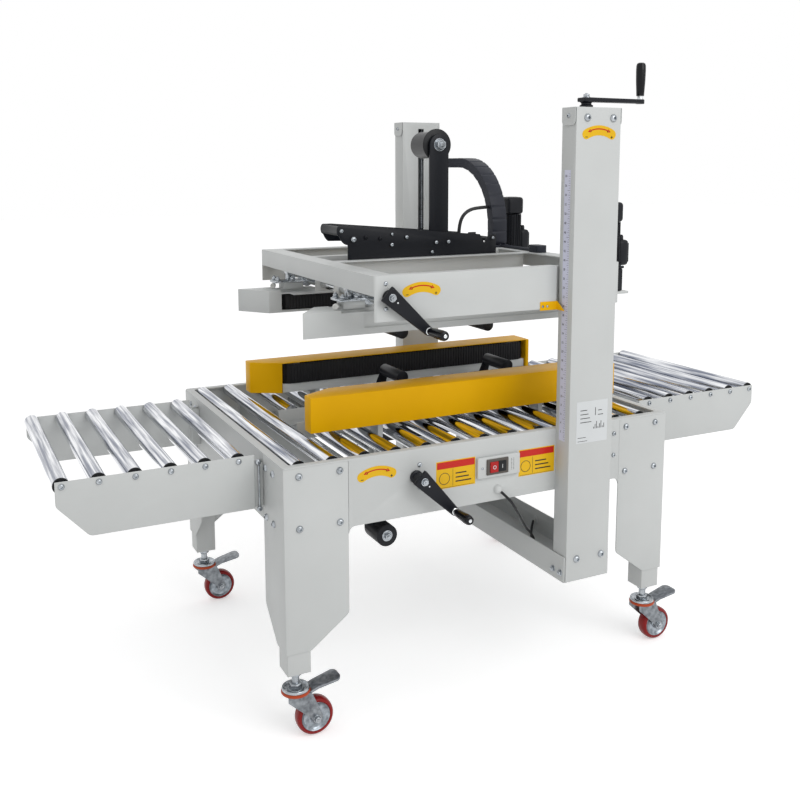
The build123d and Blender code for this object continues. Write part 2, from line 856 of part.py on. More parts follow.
belt_pulley_y = -(carton_half_width + belt_recess + belt_thickness + pulley_radius)
belt_loop_length = belt_run_right - belt_run_left - 2
pulley_spacing = belt_loop_length - 2 * (pulley_radius + belt_thickness)
with BuildPart() as near_drive_belt:
    with BuildSketch(Plane.XY.offset(belt_bottom)):
        with Locations(((belt_run_left + belt_run_right) / 2, belt_pulley_y)):
            SlotOverall(belt_loop_length, 2 * (pulley_radius + belt_thickness))
            SlotOverall(belt_loop_length - 2 * belt_thickness, 2 * pulley_radius, mode=Mode.SUBTRACT)
    extrude(amount=belt_height)
save(near_drive_belt.part, "near_drive_belt")

carriage_top = belt_bottom - running_gap
bar_inner_y = carton_half_width + belt_recess + belt_thickness
bar_outer_y = belt_outer_y - cover_sheet
arm_x = (bed_roller_first_x + 3.5 * bed_roller_pitch, bed_roller_first_x + 9.5 * bed_roller_pitch)
with BuildPart() as near_belt_carriage:
    with BuildSketch(Plane.XY.offset(cover_bottom)):
        with Locations(((belt_run_left + belt_run_right) / 2, -(bar_inner_y + bar_outer_y) / 2)):
            Rectangle(belt_run_right - belt_run_left - 6, bar_outer_y - bar_inner_y)
    extrude(amount=carriage_top - cover_bottom)
    with BuildSketch(Plane.XY.offset(carriage_top)):
        with Locations(((belt_run_left + belt_run_right) / 2, belt_pulley_y)):
            with GridLocations(pulley_spacing, 1, 2, 1):
                Circle(pulley_radius - running_gap)
    extrude(amount=belt_height)
    for x in arm_x:
        with BuildSketch(Plane.XY.offset(bed_rod_z)):
            with Locations((x, -unit_centre_y)):
                Rectangle(arm_thickness, arm_width)
        extrude(amount=cover_bottom - bed_rod_z)
    for x, rod_x in zip(arm_x, (-bed_rod_x, bed_rod_x)):
        with BuildSketch(Plane.XY.offset(bed_rod_z - carriage_block_height / 2)):
            with Locations(((x + rod_x) / 2, -unit_centre_y)):
                Rectangle(abs(x - rod_x) + carriage_block_width, carriage_block_length)
        extrude(amount=carriage_block_height)
        with BuildSketch(Plane.XZ.offset(unit_centre_y + carriage_block_length)):
            with Locations((rod_x, bed_rod_z)):
                Circle(bed_rod_radius + running_gap)
        extrude(amount=-2 * carriage_block_length, mode=Mode.SUBTRACT)
    with BuildSketch(Plane.XZ.offset(unit_centre_y + carriage_block_length / 2)):
        with Locations((bed_crank_x, bed_crank_z)):
            Rectangle(nut_block_size, nut_block_size)
        with Locations(((bed_crank_x + arm_x[0]) / 2, bed_crank_z)):
            Rectangle(abs(bed_crank_x - arm_x[0]) + arm_thickness, nut_block_size)
    extrude(amount=-carriage_block_length)
    with BuildSketch(Plane.XZ.offset(unit_centre_y + carriage_block_length)):
        with Locations((bed_crank_x, bed_crank_z)):
            Circle(width_screw_radius + running_gap)
    extrude(amount=-2 * carriage_block_length, mode=Mode.SUBTRACT)
save(near_belt_carriage.part, "near_belt_carriage")

for piece, name in (
    (near_belt_cover, "far_belt_cover"),
    (near_drive_belt, "far_drive_belt"),
    (near_belt_carriage, "far_belt_carriage"),
):
    save(piece.part.mirror(Plane.XZ), name)

# Lower tape head: side plates between the well rails, with two roller arms above them
with BuildPart() as lower_tape_head:
    for side in (-1, 1):
        with BuildSketch(Plane.XZ.offset(-side * tape_plate_y)):
            with BuildLine():
                Polyline(
                    (lower_tape_plate_left, lower_tape_plate_bottom),
                    (lower_tape_plate_right, lower_tape_plate_bottom),
                    (lower_tape_plate_right, lower_tape_plate_top),
                    (lower_tape_plate_left, lower_tape_plate_top),
                    close=True,
                )
            make_face()
            for roller_x in (tape_front_roller_x, tape_rear_roller_x):
                with BuildLine():
                    Polyline(
                        (roller_x - tape_arm_reach, lower_tape_plate_top - tape_arm_root),
                        (roller_x - tape_arm_half, lower_tape_roller_z + tape_arm_half),
                        (roller_x + tape_arm_half, lower_tape_roller_z + tape_arm_half),
                        (roller_x + tape_arm_half, lower_tape_roller_z - tape_arm_half),
                        (roller_x - tape_arm_root, lower_tape_plate_top - tape_arm_root),
                        close=True,
                    )
                make_face()
        extrude(amount=side * tape_plate_sheet)
    for roller_x in (tape_front_roller_x, tape_rear_roller_x):
        with BuildSketch(Plane.XZ.offset(-tape_plate_y)):
            with Locations((roller_x, lower_tape_roller_z)):
                Circle(tape_roller_radius)
        extrude(amount=2 * tape_plate_y)
    stud_end = well_rail_y - bed_sheet / 2
    for stud_x in (lower_tape_plate_left + tape_stud_inset, lower_tape_plate_right - tape_stud_inset):
        with BuildSketch(Plane.XZ.offset(-stud_end)):
            with Locations((stud_x, (well_rail_bottom + lower_tape_plate_top) / 2)):
                Circle(tape_stud_radius)
        extrude(amount=2 * stud_end)
save(lower_tape_head.part, "lower_tape_head")

# Head frame: front fascia, shallow cross beams, rear plate and the plates beside the masts
fascia_right = mast_centre_x - mast_width / 2 - head_mast_gap
inner_plate_y = half_width - head_mast_gap
with BuildPart() as head_frame:
    with BuildSketch(Plane.XY.offset(head_bottom)):
        with Locations((head_left, -head_front)):
            Rectangle(fascia_right - head_left, head_sheet, align=(Align.MIN, Align.MIN))
    extrude(amount=head_top - head_bottom)
    with BuildSketch(Plane.XY.offset(head_top - head_sheet)):
        with Locations((head_left, -head_front)):
            Rectangle(fascia_right - head_left, head_flange, align=(Align.MIN, Align.MIN))
    extrude(amount=head_sheet)
    with BuildSketch(Plane.XY.offset(head_bottom)):
        with Locations((fascia_right - head_flange, -inner_plate_y)):
            Rectangle(head_right - fascia_right + head_flange, head_sheet, align=(Align.MIN, Align.MIN))
        with Locations((fascia_right - head_flange, -head_front)):
            Rectangle(head_sheet, head_front - inner_plate_y + head_sheet, align=(Align.MIN, Align.MIN))
    extrude(amount=head_top - head_bottom)
    with BuildSketch(Plane.XY.offset(head_rear_bottom)):
        with Locations((head_left, head_rear)):
            Rectangle(head_right - head_left, head_sheet, align=(Align.MIN, Align.MAX))
    extrude(amount=head_top - head_rear_bottom)
    with BuildSketch(Plane.XY.offset(head_top - head_sheet)):
        with Locations((head_left, head_rear)):
            Rectangle(head_right - head_left, head_flange, align=(Align.MIN, Align.MAX))
    extrude(amount=head_sheet)
    for beam_left in (head_left, head_right - cross_beam_width):
        outer_x = head_left if beam_left == head_left else head_right - head_sheet
        front_y = -head_front if beam_left == head_left else -inner_plate_y
        with BuildSketch(Plane.XY.offset(head_top - head_sheet)):
            with Locations((beam_left, front_y)):
                Rectangle(cross_beam_width, head_rear - front_y, align=(Align.MIN, Align.MIN))
        extrude(amount=head_sheet)
        with BuildSketch(Plane.XY.offset(head_top - cross_beam_height)):
            with Locations((outer_x, front_y)):
                Rectangle(head_sheet, head_rear - front_y, align=(Align.MIN, Align.MIN))
        extrude(amount=cross_beam_height)
    with BuildSketch(Plane.XY.offset(head_top - cross_beam_lip)):
        with Locations((head_left + cross_beam_width, -head_front)):
            Rectangle(head_sheet, head_rear + head_front, align=(Align.MAX, Align.MIN))
    extrude(amount=cross_beam_lip)
    with BuildSketch(Plane.XZ.offset(head_front + 1)):
        with Locations((head_crank_x, head_crank_z)):
            Circle(width_screw_radius + running_gap)
    extrude(amount=-(head_sheet + 2), mode=Mode.SUBTRACT)
    corner = Vector(head_left, -head_front, (head_top + head_bottom) / 2)
    upright = head_frame.edges().filter_by(Axis.Z).sort_by(lambda edge: (edge.center() - corner).length)
    fillet(upright[:1], head_corner_radius)
    pointer_right = mast_centre_x - mast_width / 2 - running_gap - carriage_wall_gap
    with BuildSketch(Plane.XY.offset(pointer_bottom)):
        with Locations((pointer_left, -head_front)):
            Rectangle(pointer_right - pointer_left, pointer_sheet, align=(Align.MIN, Align.MAX))
        with Locations((pointer_right, -head_front)):
            Rectangle(pointer_sheet, pointer_reach, align=(Align.MAX, Align.MAX))
    extrude(amount=pointer_height)
    with BuildSketch(Plane.YZ.offset(pointer_right - pointer_sheet - 1)):
        with BuildLine():
            Polyline(
                (-head_front - pointer_sheet, pointer_bottom + pointer_height),
                (-head_front - pointer_reach, pointer_bottom + pointer_sheet),
                (-head_front - pointer_reach - 1, pointer_bottom + pointer_height),
                close=True,
            )
        make_face()
    extrude(amount=pointer_sheet + 2, mode=Mode.SUBTRACT)
save(head_frame.part, "head_frame")

# Cartridge rails between the two cross beams
rail_left = head_left + cross_beam_width
rail_right = head_right - cross_beam_width
with BuildPart() as cartridge_rails:
    for side in (-1, 1):
        with BuildSketch(Plane.XY.offset(rail_bottom)):
            with Locations(((rail_left + rail_right) / 2, side * (rail_offset + head_sheet / 2))):
                Rectangle(rail_right - rail_left, head_sheet)
        extrude(amount=head_top - rail_bottom)
        with BuildSketch(Plane.XY.offset(head_top - head_sheet)):
            with Locations(((rail_left + rail_right) / 2, side * (rail_offset + rail_width / 2))):
                Rectangle(rail_right - rail_left, rail_width)
        extrude(amount=head_sheet)
    for x in (head_rod_left_x, head_rod_right_x):
        with BuildSketch(Plane.XZ.offset(rail_offset + rail_width)):
            with Locations((x, head_rod_z)):
                Circle(head_rod_radius + running_gap)
        extrude(amount=-2 * (rail_offset + rail_width), mode=Mode.SUBTRACT)
save(cartridge_rails.part, "cartridge_rails")

# Head slide rods
with BuildPart() as head_slide_rods:
    for x, front_y in (
        (head_rod_left_x, head_front - head_sheet),
        (head_rod_right_x, inner_plate_y - head_sheet),
    ):
        with BuildSketch(Plane.XZ.offset(front_y)):
            with Locations((x, head_rod_z)):
                Circle(head_rod_radius)
        extrude(amount=-(front_y + head_rear - head_sheet))
save(head_slide_rods.part, "head_slide_rods")

# Carriages: nut blocks inside the masts with necks through the slots
carriage_bottom = head_bottom + 6
carriage_height = 120
carriage_neck = mast_slot_width - 2 * carriage_wall_gap


def mast_carriage():
    """Carriage of the front mast; the rear one is the same turned half a turn."""
    block_width = mast_width - 2 * (mast_sheet + carriage_wall_gap)
    block_depth = mast_depth - 2 * (mast_sheet + carriage_wall_gap)
    with BuildPart() as carriage:
        with BuildSketch(Plane.XY.offset(carriage_bottom)):
            with Locations((mast_centre_x, -screw_y)):
                Rectangle(block_width, block_depth)
            with Locations((mast_centre_x, -screw_y)):
                Rectangle(carriage_neck, screw_y - inner_plate_y, align=(Align.CENTER, Align.MIN))
        extrude(amount=carriage_height)
        with BuildSketch(Plane.XY.offset(carriage_bottom)):
            with Locations((front_screw_x, -screw_y), (rear_screw_x, -screw_y)):
                Circle(screw_radius + running_gap)
        extrude(amount=carriage_height, mode=Mode.SUBTRACT)
    return carriage.part


carriage_part = mast_carriage()
rear_bridge = inner_plate_y - head_rear
with BuildPart() as head_carriages:
    add(carriage_part)
    add(carriage_part.moved(half_turn))
    with BuildSketch(Plane.XY.offset(head_rear_bottom)):
        with Locations((mast_centre_x, head_rear)):
            Rectangle(mast_width, rear_bridge, align=(Align.CENTER, Align.MIN))
            with Locations((0, bridge_plate)):
                Rectangle(
                    mast_width - 2 * bridge_plate,
                    rear_bridge - 2 * bridge_plate,
                    align=(Align.CENTER, Align.MIN),
                    mode=Mode.SUBTRACT,
                )
    extrude(amount=head_top - head_rear_bottom)
save(head_carriages.part, "head_carriages")

# Upper tape cartridge: plates above the frame with a raised tip, roller arms below
upper_rear_roller_x = tape_rear_roller_x - upper_roller_shift
notch_half = cartridge_notch_width / 2
with BuildPart() as tape_cartridge:
    for side in (-1, 1):
        with BuildSketch(Plane.XZ.offset(-side * tape_plate_y)):
            with BuildLine():
                Polyline(
                    (cartridge_tip_x, cartridge_tip_z + cartridge_tip_radius),
                    (cartridge_left, cartridge_left_top),
                    (cartridge_notch_x - notch_half, cartridge_right_top + cartridge_notch_lip),
                    (cartridge_notch_x, cartridge_right_top - cartridge_notch_depth),
                    (cartridge_notch_x + notch_half, cartridge_right_top),
                    (cartridge_right, cartridge_right_top),
                    (cartridge_right, cartridge_bottom),
                    (cartridge_left, cartridge_bottom),
                    (cartridge_left, cartridge_neck_z),
                )
                RadiusArc(
                    (cartridge_left, cartridge_neck_z),
                    (cartridge_tip_x, cartridge_tip_z - cartridge_tip_radius),
                    cartridge_neck_radius,
                )
                RadiusArc(
                    (cartridge_tip_x, cartridge_tip_z - cartridge_tip_radius),
                    (cartridge_tip_x, cartridge_tip_z + cartridge_tip_radius),
                    cartridge_tip_radius + cartridge_arc_slack,
                )
            make_face()
            for roller_x in (tape_front_roller_x, upper_rear_roller_x):
                with BuildLine():
                    Polyline(
                        (roller_x - tape_arm_reach, cartridge_bottom + tape_arm_root),
                        (roller_x - tape_arm_half, upper_tape_roller_z - tape_arm_half),
                        (roller_x + tape_arm_half, upper_tape_roller_z - tape_arm_half),
                        (roller_x + tape_arm_half, upper_tape_roller_z + tape_arm_half),
                        (roller_x - tape_arm_root, cartridge_bottom + tape_arm_root),
                        close=True,
                    )
                make_face()
        extrude(amount=side * tape_plate_sheet)
    for pin_x, pin_z, pin_radius in (
        (tape_front_roller_x, upper_tape_roller_z, tape_roller_radius),
        (upper_rear_roller_x, upper_tape_roller_z, tape_roller_radius),
        (cartridge_tip_x, cartridge_tip_z, cartridge_tip_radius - cartridge_bar_gap),
        (cartridge_right - cartridge_pin_inset, cartridge_right_top - cartridge_pin_inset, tape_stud_radius),
        (hose_stud_x, hose_stud_z, hose_stud_radius),
    ):
        with BuildSketch(Plane.XZ.offset(-tape_plate_y)):
            with Locations((pin_x, pin_z)):
                Circle(pin_radius)
        extrude(amount=2 * tape_plate_y)
    with BuildSketch(Plane.XZ.offset(-rail_offset)):
        with Locations(
            (cartridge_left + tape_stud_inset, cartridge_stud_z),
            (cartridge_right - tape_stud_inset, cartridge_stud_z),
        ):
            Circle(tape_stud_radius)
    extrude(amount=2 * rail_offset)
save(tape_cartridge.part, "tape_cartridge")

# Reel arm and the tape core on its axle
arm_inner_y = -tape_plate_y + tape_plate_sheet
core_y = arm_inner_y + reel_arm_thickness + reel_core_gap
with BuildPart() as reel_arm:
    with BuildSketch(Plane.XZ.offset(-arm_inner_y)):
        with Locations((reel_arm_x, (reel_centre_z + cartridge_bottom + reel_arm_foot) / 2)):
            Rectangle(reel_arm_width, reel_centre_z - cartridge_bottom - reel_arm_foot)
        with Locations((reel_arm_x, reel_centre_z)):
            Circle(reel_arm_width / 2)
    extrude(amount=-reel_arm_thickness)
    with BuildSketch(Plane.XZ.offset(-arm_inner_y - reel_arm_thickness)):
        with Locations((reel_arm_x, reel_centre_z)):
            Circle(reel_pin_radius)
    extrude(amount=-(reel_core_length + reel_pin_overhang))
save(reel_arm.part, "reel_arm")

with BuildPart() as tape_core:
    with BuildSketch(Plane.XZ.offset(-core_y)):
        with Locations((reel_arm_x, reel_centre_z)):
            Circle(reel_flange_radius)
            Circle(6 + running_gap, mode=Mode.SUBTRACT)
    extrude(amount=-4)
    with BuildSketch(Plane.XZ.offset(-core_y - 4)):
        with Locations((reel_arm_x, reel_centre_z)):
            Circle(reel_core_radius)
            Circle(6 + running_gap, mode=Mode.SUBTRACT)
    extrude(amount=-(reel_core_length - 4))
save(tape_core.part, "tape_core")

# Upper belt units: housing with a top plate over the belt, clamps on the head rods, motor plate
upper_outer_y = carton_half_width + belt_unit_width
upper_belt_left = upper_unit_left + upper_belt_inset
upper_belt_right = upper_unit_right - upper_belt_end_inset
upper_plate_top = upper_unit_top - upper_plate_drop
upper_belt_top = upper_plate_top - upper_plate_sheet - running_gap
upper_plate_left = upper_unit_left + upper_plate_inset
upper_clamp_right = head_rod_left_x + carriage_block_width / 2
upper_step_bottom = upper_unit_bottom + upper_step_height
with BuildPart() as near_upper_housing:
    with BuildSketch(Plane.XY.offset(upper_unit_bottom)):
        with Locations(((upper_unit_left + upper_unit_right) / 2, -unit_centre_y)):
            RectangleRounded(upper_unit_right - upper_unit_left, belt_unit_width, upper_nose_radius)
    extrude(amount=upper_unit_top - upper_unit_bottom)
    with BuildSketch(Plane.XY.offset(upper_plate_top)):
        with Locations((upper_belt_left, -unit_centre_y)):
            Rectangle(
                upper_belt_right - upper_belt_left,
                belt_unit_width + 2,
                align=(Align.MIN, Align.CENTER),
            )
    extrude(amount=upper_plate_drop + 1, mode=Mode.SUBTRACT)
    with BuildSketch(Plane.XY.offset(upper_step_bottom)):
        with Locations((upper_step_x, -upper_outer_y)):
            Rectangle(
                upper_unit_right - upper_step_x - upper_nose_radius,
                2 * upper_step_depth,
                align=(Align.MIN, Align.CENTER),
            )
    extrude(amount=upper_plate_top - upper_plate_sheet - upper_step_bottom, mode=Mode.SUBTRACT)
    with BuildSketch(Plane.XY.offset(upper_belt_top - upper_belt_height - running_gap)):
        with Locations(((upper_belt_left + upper_belt_right) / 2, -carton_half_width)):
            Rectangle(
                upper_belt_right - upper_belt_left,
                2 * (belt_recess + belt_thickness) + 4 * pulley_radius,
            )
    extrude(amount=upper_belt_height + 2 * running_gap, mode=Mode.SUBTRACT)
    with BuildSketch(Plane.XY.offset(upper_plate_top - upper_plate_sheet)):
        with Locations((upper_plate_left, upper_plate_overhang - carton_half_width)):
            Rectangle(
                upper_belt_right - upper_plate_left,
                upper_plate_overhang + belt_unit_width,
                align=(Align.MIN, Align.MAX),
            )
    extrude(amount=upper_plate_sheet)
    for left_x, right_x in (
        (upper_clamp_left, upper_clamp_right),
        (head_rod_right_x - carriage_block_width / 2, head_rod_right_x + carriage_block_width / 2),
    ):
        with BuildSketch(Plane.XY.offset(upper_plate_top)):
            with Locations((left_x, -unit_centre_y)):
                Rectangle(right_x - left_x, carriage_block_length, align=(Align.MIN, Align.CENTER))
        extrude(amount=head_rod_z + head_rod_radius + 10 - upper_plate_top)
    with BuildSketch(Plane.XY.offset(upper_plate_top)):
        with Locations((head_crank_x, -unit_centre_y)):
            Rectangle(screw_lug_width, carriage_block_length)
    extrude(amount=head_crank_z + screw_lug_height - upper_plate_top)
    with BuildSketch(Plane.XZ.offset(unit_centre_y + carriage_block_length)):
        with Locations((head_rod_left_x, head_rod_z), (head_rod_right_x, head_rod_z)):
            Circle(head_rod_radius + running_gap)
        with Locations((head_crank_x, head_crank_z)):
            Circle(width_screw_radius + running_gap)
    extrude(amount=-2 * carriage_block_length, mode=Mode.SUBTRACT)
    with BuildSketch(Plane.XY.offset(upper_plate_top)):
        with Locations((motor_x, -carton_half_width)):
            Rectangle(motor_plate_width, motor_plate_depth, align=(Align.CENTER, Align.MAX))
    extrude(amount=upper_plate_drop)
save(near_upper_housing.part, "near_upper_housing")

with BuildPart() as near_upper_belt:
    with BuildSketch(Plane.XY.offset(upper_belt_top - upper_belt_height)):
        with Locations(((upper_belt_left + upper_belt_right) / 2, belt_pulley_y + 2)):
            SlotOverall(upper_belt_right - upper_belt_left - 4, 2 * (pulley_radius + belt_thickness) - 4)
    extrude(amount=upper_belt_height)
save(near_upper_belt.part, "near_upper_belt")

motor_body_bottom = upper_unit_top + motor_gearbox_height
motor_cap_bottom = motor_body_bottom + motor_body_height
with BuildPart() as near_upper_motor:
    with BuildSketch(Plane.XY.offset(upper_unit_top)):
        with Locations((motor_x, -motor_y)):
            RectangleRounded(motor_gearbox_width, motor_gearbox_width, motor_top_fillet)
    extrude(amount=motor_gearbox_height)
    with BuildSketch(Plane.XY.offset(motor_body_bottom)):
        with Locations((motor_x, -motor_y)):
            Circle(motor_radius)
        with Locations((motor_x + motor_radius, -motor_y)):
            RectangleRounded(motor_box_width, motor_box_depth, motor_top_fillet)
    extrude(amount=motor_box_height)
    with BuildSketch(Plane.XY.offset(motor_body_bottom + motor_box_height)):
        with Locations((motor_x, -motor_y)):
            Circle(motor_radius)
    extrude(amount=motor_body_height - motor_box_height)
    with BuildSketch(Plane.XY.offset(motor_cap_bottom)):
        with Locations((motor_x, -motor_y)):
            RectangleRounded(motor_cap_width, motor_cap_width, motor_cap_corner)
    extrude(amount=motor_cap_height)
    fillet(near_upper_motor.faces().sort_by(Axis.Z)[-1].edges(), motor_top_fillet)
save(near_upper_motor.part, "near_upper_motor")

for piece, name in (
    (near_upper_housing, "far_upper_housing"),
    (near_upper_belt, "far_upper_belt"),
    (near_upper_motor, "far_upper_motor"),
):
    save(piece.part.mirror(Plane.XZ), name)

# Switch box on the front panel
with BuildPart() as switch_box:
    with BuildSketch(Plane.XZ.offset(half_width)):
        with Locations((switch_centre_x, switch_centre_z)):
            RectangleRounded(switch_plate_width, switch_plate_height, 3)
    extrude(amount=switch_plate_depth)
save(switch_box.part, "switch_box")

# Cable chain from the rear mast's side to the head: open links that overlap at their rounded ends
chain_arc_y = chain_foot_y + chain_arc_radius
chain_arc_z = chain_top_z - chain_arc_radius
chain_flat = chain_start_y - chain_arc_y
chain_overhang = chain_link_height / 4
chain_drop = chain_arc_z - head_top - chain_foot_thickness - chain_overhang
chain_bend = radians(90) * chain_arc_radius
chain_links = round((chain_flat + chain_bend + chain_drop) / chain_link_pitch)


def chain_place(distance):
    """Middle of a link and its turn about X, at a distance along the chain from the mast."""
    if distance < chain_flat:
        return (chain_x, chain_start_y - distance, chain_top_z), 0
    turn = (distance - chain_flat) / chain_arc_radius
    if turn < radians(90):
        y = chain_arc_y - chain_arc_radius * sin(turn)
        return (chain_x, y, chain_arc_z + chain_arc_radius * cos(turn)), turn
    drop = distance - chain_flat - chain_bend
    return (chain_x, chain_foot_y, chain_arc_z - drop), radians(90)


with BuildPart() as chain_link:
    with BuildSketch(Plane.YZ.offset(-chain_link_width / 2)):
        SlotOverall(chain_link_pitch + 2 * chain_overhang, chain_link_height)
    extrude(amount=chain_link_width)
    with BuildSketch(Plane.XZ.offset(-chain_link_pitch)):
        Rectangle(chain_link_width - 2 * chain_link_wall, chain_link_height - 2 * chain_link_wall)
    extrude(amount=2 * chain_link_pitch, mode=Mode.SUBTRACT)
    for side in (-1, 1):
        with BuildSketch(Plane.XY.offset(side * chain_link_height / 2)):
            Rectangle(chain_link_width - 2 * chain_link_wall, chain_link_pitch / 2)
        extrude(amount=-side * chain_link_wall)

with BuildPart() as cable_chain:
    for index in range(chain_links):
        place, turn = chain_place((index + 0.5) * (chain_flat + chain_bend + chain_drop) / chain_links)
        add(chain_link.part.moved(Location(place, (degrees(turn), 0, 0))))
    with BuildSketch(Plane.XY.offset(head_top)):
        with Locations((chain_x, chain_foot_y)):
            Rectangle(chain_link_width, 2 * chain_link_height)
    extrude(amount=chain_foot_thickness + chain_link_wall)
    with BuildSketch(Plane.XZ.offset(-gland_block_y)):
        with Locations((chain_x, head_top + beam_cable_radius)):
            Circle(beam_cable_radius)
    extrude(amount=-(chain_foot_y - gland_block_y))
    with BuildSketch(Plane.XY.offset(head_top)):
        with Locations((chain_x, gland_block_y)):
            RectangleRounded(gland_block_width, gland_block_length, gland_radius)
    extrude(amount=gland_block_height)
save(cable_chain.part, "cable_chain")


def cord_tube(route, radius, name):
    """Tube along a route, each bend as wide as its two runs allow; prints its radii and its length."""
    bends = []
    for before, here, after in zip(route, route[1:], route[2:]):
        first = Vector(*here) - Vector(*before)
        second = Vector(*after) - Vector(*here)
        half_turn_angle = radians(first.get_angle(second)) / 2
        bends.append(0.45 * min(first.length, second.length) / tan(half_turn_angle))
    with BuildPart() as tube:
        with BuildLine() as line:
            FilletPolyline(*route, radius=bends)
        with BuildSketch(Plane(origin=line.wire() @ 0, z_dir=line.wire() % 0)):
            Circle(radius)
        sweep()
    print(name, "bend radii", [round(bend, 1) for bend in bends])
    print(name, "length", round(line.wire().length, 1), "volume", round(tube.part.volume, 1))
    save(tube.part, name)


# Mains cable from its gland on the front panel down into the cross channel
cord_tube(
    [
        (gland_x + cable_start, -half_width - cable_start, gland_z - cable_start),
        (32, -398, 443),
        (56, -388, 410),
        (90, -356, 374),
        (124, -322, 338),
        (156, -296, 312),
        (182, -272, 284),
        (202, -244, 258),
        (222, -208, 248),
        (240, -176, 252),
        (258, -154, 262),
        (270, -142, 268),
    ],
    mains_cable_radius,
    "mains_cable",
)

# Hose from the cartridge up to the cable chain
cord_tube(
    [
        (hose_stud_x, 20, hose_stud_z + hose_stud_radius + seam_gap),
        (hose_stud_x + 1, 21, 1008),
        (156, 32, 1036),
        (192, 57, 1050),
        (238, 88, 1053),
        (chain_x - chain_link_width / 2 - hose_radius / 2 - seam_gap, 111, 1053),
    ],
    hose_radius,
    "head_hose",
)
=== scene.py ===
import json
import math

import bpy
from mathutils import Matrix, Vector

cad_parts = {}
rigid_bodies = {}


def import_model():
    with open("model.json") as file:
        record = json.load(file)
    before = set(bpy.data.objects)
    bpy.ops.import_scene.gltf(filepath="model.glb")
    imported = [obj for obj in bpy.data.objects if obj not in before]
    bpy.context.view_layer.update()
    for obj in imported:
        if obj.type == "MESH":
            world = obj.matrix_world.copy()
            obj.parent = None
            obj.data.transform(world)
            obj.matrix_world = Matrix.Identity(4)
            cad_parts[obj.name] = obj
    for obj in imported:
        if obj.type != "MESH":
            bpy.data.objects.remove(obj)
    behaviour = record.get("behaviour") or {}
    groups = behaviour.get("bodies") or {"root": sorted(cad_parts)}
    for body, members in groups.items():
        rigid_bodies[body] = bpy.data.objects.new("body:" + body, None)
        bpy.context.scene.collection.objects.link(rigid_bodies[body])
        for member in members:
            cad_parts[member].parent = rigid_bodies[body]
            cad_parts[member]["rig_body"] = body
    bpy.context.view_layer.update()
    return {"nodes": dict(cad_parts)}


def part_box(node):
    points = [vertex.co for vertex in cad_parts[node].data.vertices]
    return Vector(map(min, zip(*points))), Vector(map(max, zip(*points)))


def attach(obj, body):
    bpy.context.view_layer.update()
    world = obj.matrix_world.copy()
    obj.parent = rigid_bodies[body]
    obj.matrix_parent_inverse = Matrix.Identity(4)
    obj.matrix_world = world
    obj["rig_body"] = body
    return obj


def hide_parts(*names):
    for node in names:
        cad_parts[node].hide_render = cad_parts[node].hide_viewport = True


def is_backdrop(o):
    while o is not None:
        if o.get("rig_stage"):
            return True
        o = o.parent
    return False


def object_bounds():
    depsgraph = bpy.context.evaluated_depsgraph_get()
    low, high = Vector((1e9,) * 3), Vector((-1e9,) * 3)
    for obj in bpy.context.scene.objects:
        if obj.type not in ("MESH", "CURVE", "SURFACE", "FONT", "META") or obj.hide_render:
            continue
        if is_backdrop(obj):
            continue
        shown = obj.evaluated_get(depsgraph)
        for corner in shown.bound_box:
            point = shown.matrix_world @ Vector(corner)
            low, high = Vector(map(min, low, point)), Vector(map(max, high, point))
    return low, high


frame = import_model()
bpy.ops.object.select_all(action="DESELECT")

# Camera
# It stands at the photograph's place and angle, to the left of the machine and a little above the head.
frame_pixels = 800
focal_pixels = 958.529
centre_row = 301.743
sensor_width = 36
yaw = Matrix.Rotation(math.radians(-26.57), 4, "Z")
pitch = Matrix.Rotation(math.radians(81.901), 4, "X")
roll = Matrix.Rotation(math.radians(-0.091), 4, "Z")
bpy.ops.object.camera_add(location=(-1.076895, -2.079362, 1.163380))
camera = bpy.context.object
camera.name = "photo_camera"
camera.data.sensor_width = sensor_width
camera.data.lens = focal_pixels / frame_pixels * sensor_width
camera.data.shift_y = (centre_row - frame_pixels / 2) / frame_pixels
camera.rotation_euler = (yaw @ pitch @ roll).to_euler()
bpy.context.scene.camera = camera

# Mains cable and head hose
# Round black flexible cords: the mains cable hangs from its gland on the front panel into the channel,
# and the hose bows from the tape cartridge to the cable chain.


def shader_material(name, metallic, roughness):
    """A new node material; what isn't metal gets a low mirror gloss."""
    material = bpy.data.materials.new(name)
    material.use_nodes = True
    shader = material.node_tree.nodes["Principled BSDF"]
    shader.inputs["Metallic"].default_value = metallic
    shader.inputs["Roughness"].default_value = roughness
    if metallic == 0.0:
        shader.inputs["Specular IOR Level"].default_value = 0.24
    return material, shader


def add_node(material, kind, **inputs):
    """A shader node with its inputs set by name."""
    node = material.node_tree.nodes.new(kind)
    for key, value in inputs.items():
        node.inputs[key.replace("_", " ")].default_value = value
    return node


def object_coordinates(material, stretch):
    """The place on the object, stretched along its axes, for textures that keep their real scale."""
    tree = material.node_tree
    place = tree.nodes.new("ShaderNodeTexCoord")
    mapping = tree.nodes.new("ShaderNodeMapping")
    mapping.inputs["Scale"].default_value = stretch
    tree.links.new(place.outputs["Object"], mapping.inputs["Vector"])
    return mapping.outputs["Vector"]


def mottle(material, shader, colour, darker, scale, stretch=(1, 1, 1), spread=0.2):
    """Base colour that wanders between two tones."""
    tree = material.node_tree
    noise = add_node(material, "ShaderNodeTexNoise", Scale=scale, Detail=4.0)
    tree.links.new(object_coordinates(material, stretch), noise.inputs["Vector"])
    ramp = tree.nodes.new("ShaderNodeValToRGB")
    ramp.color_ramp.elements[0].position = 0.5 - spread
    ramp.color_ramp.elements[0].color = (*darker, 1)
    ramp.color_ramp.elements[1].position = 0.5 + spread
    ramp.color_ramp.elements[1].color = (*colour, 1)
    tree.links.new(noise.outputs["Fac"], ramp.inputs["Fac"])
    tree.links.new(ramp.outputs["Color"], shader.inputs["Base Color"])


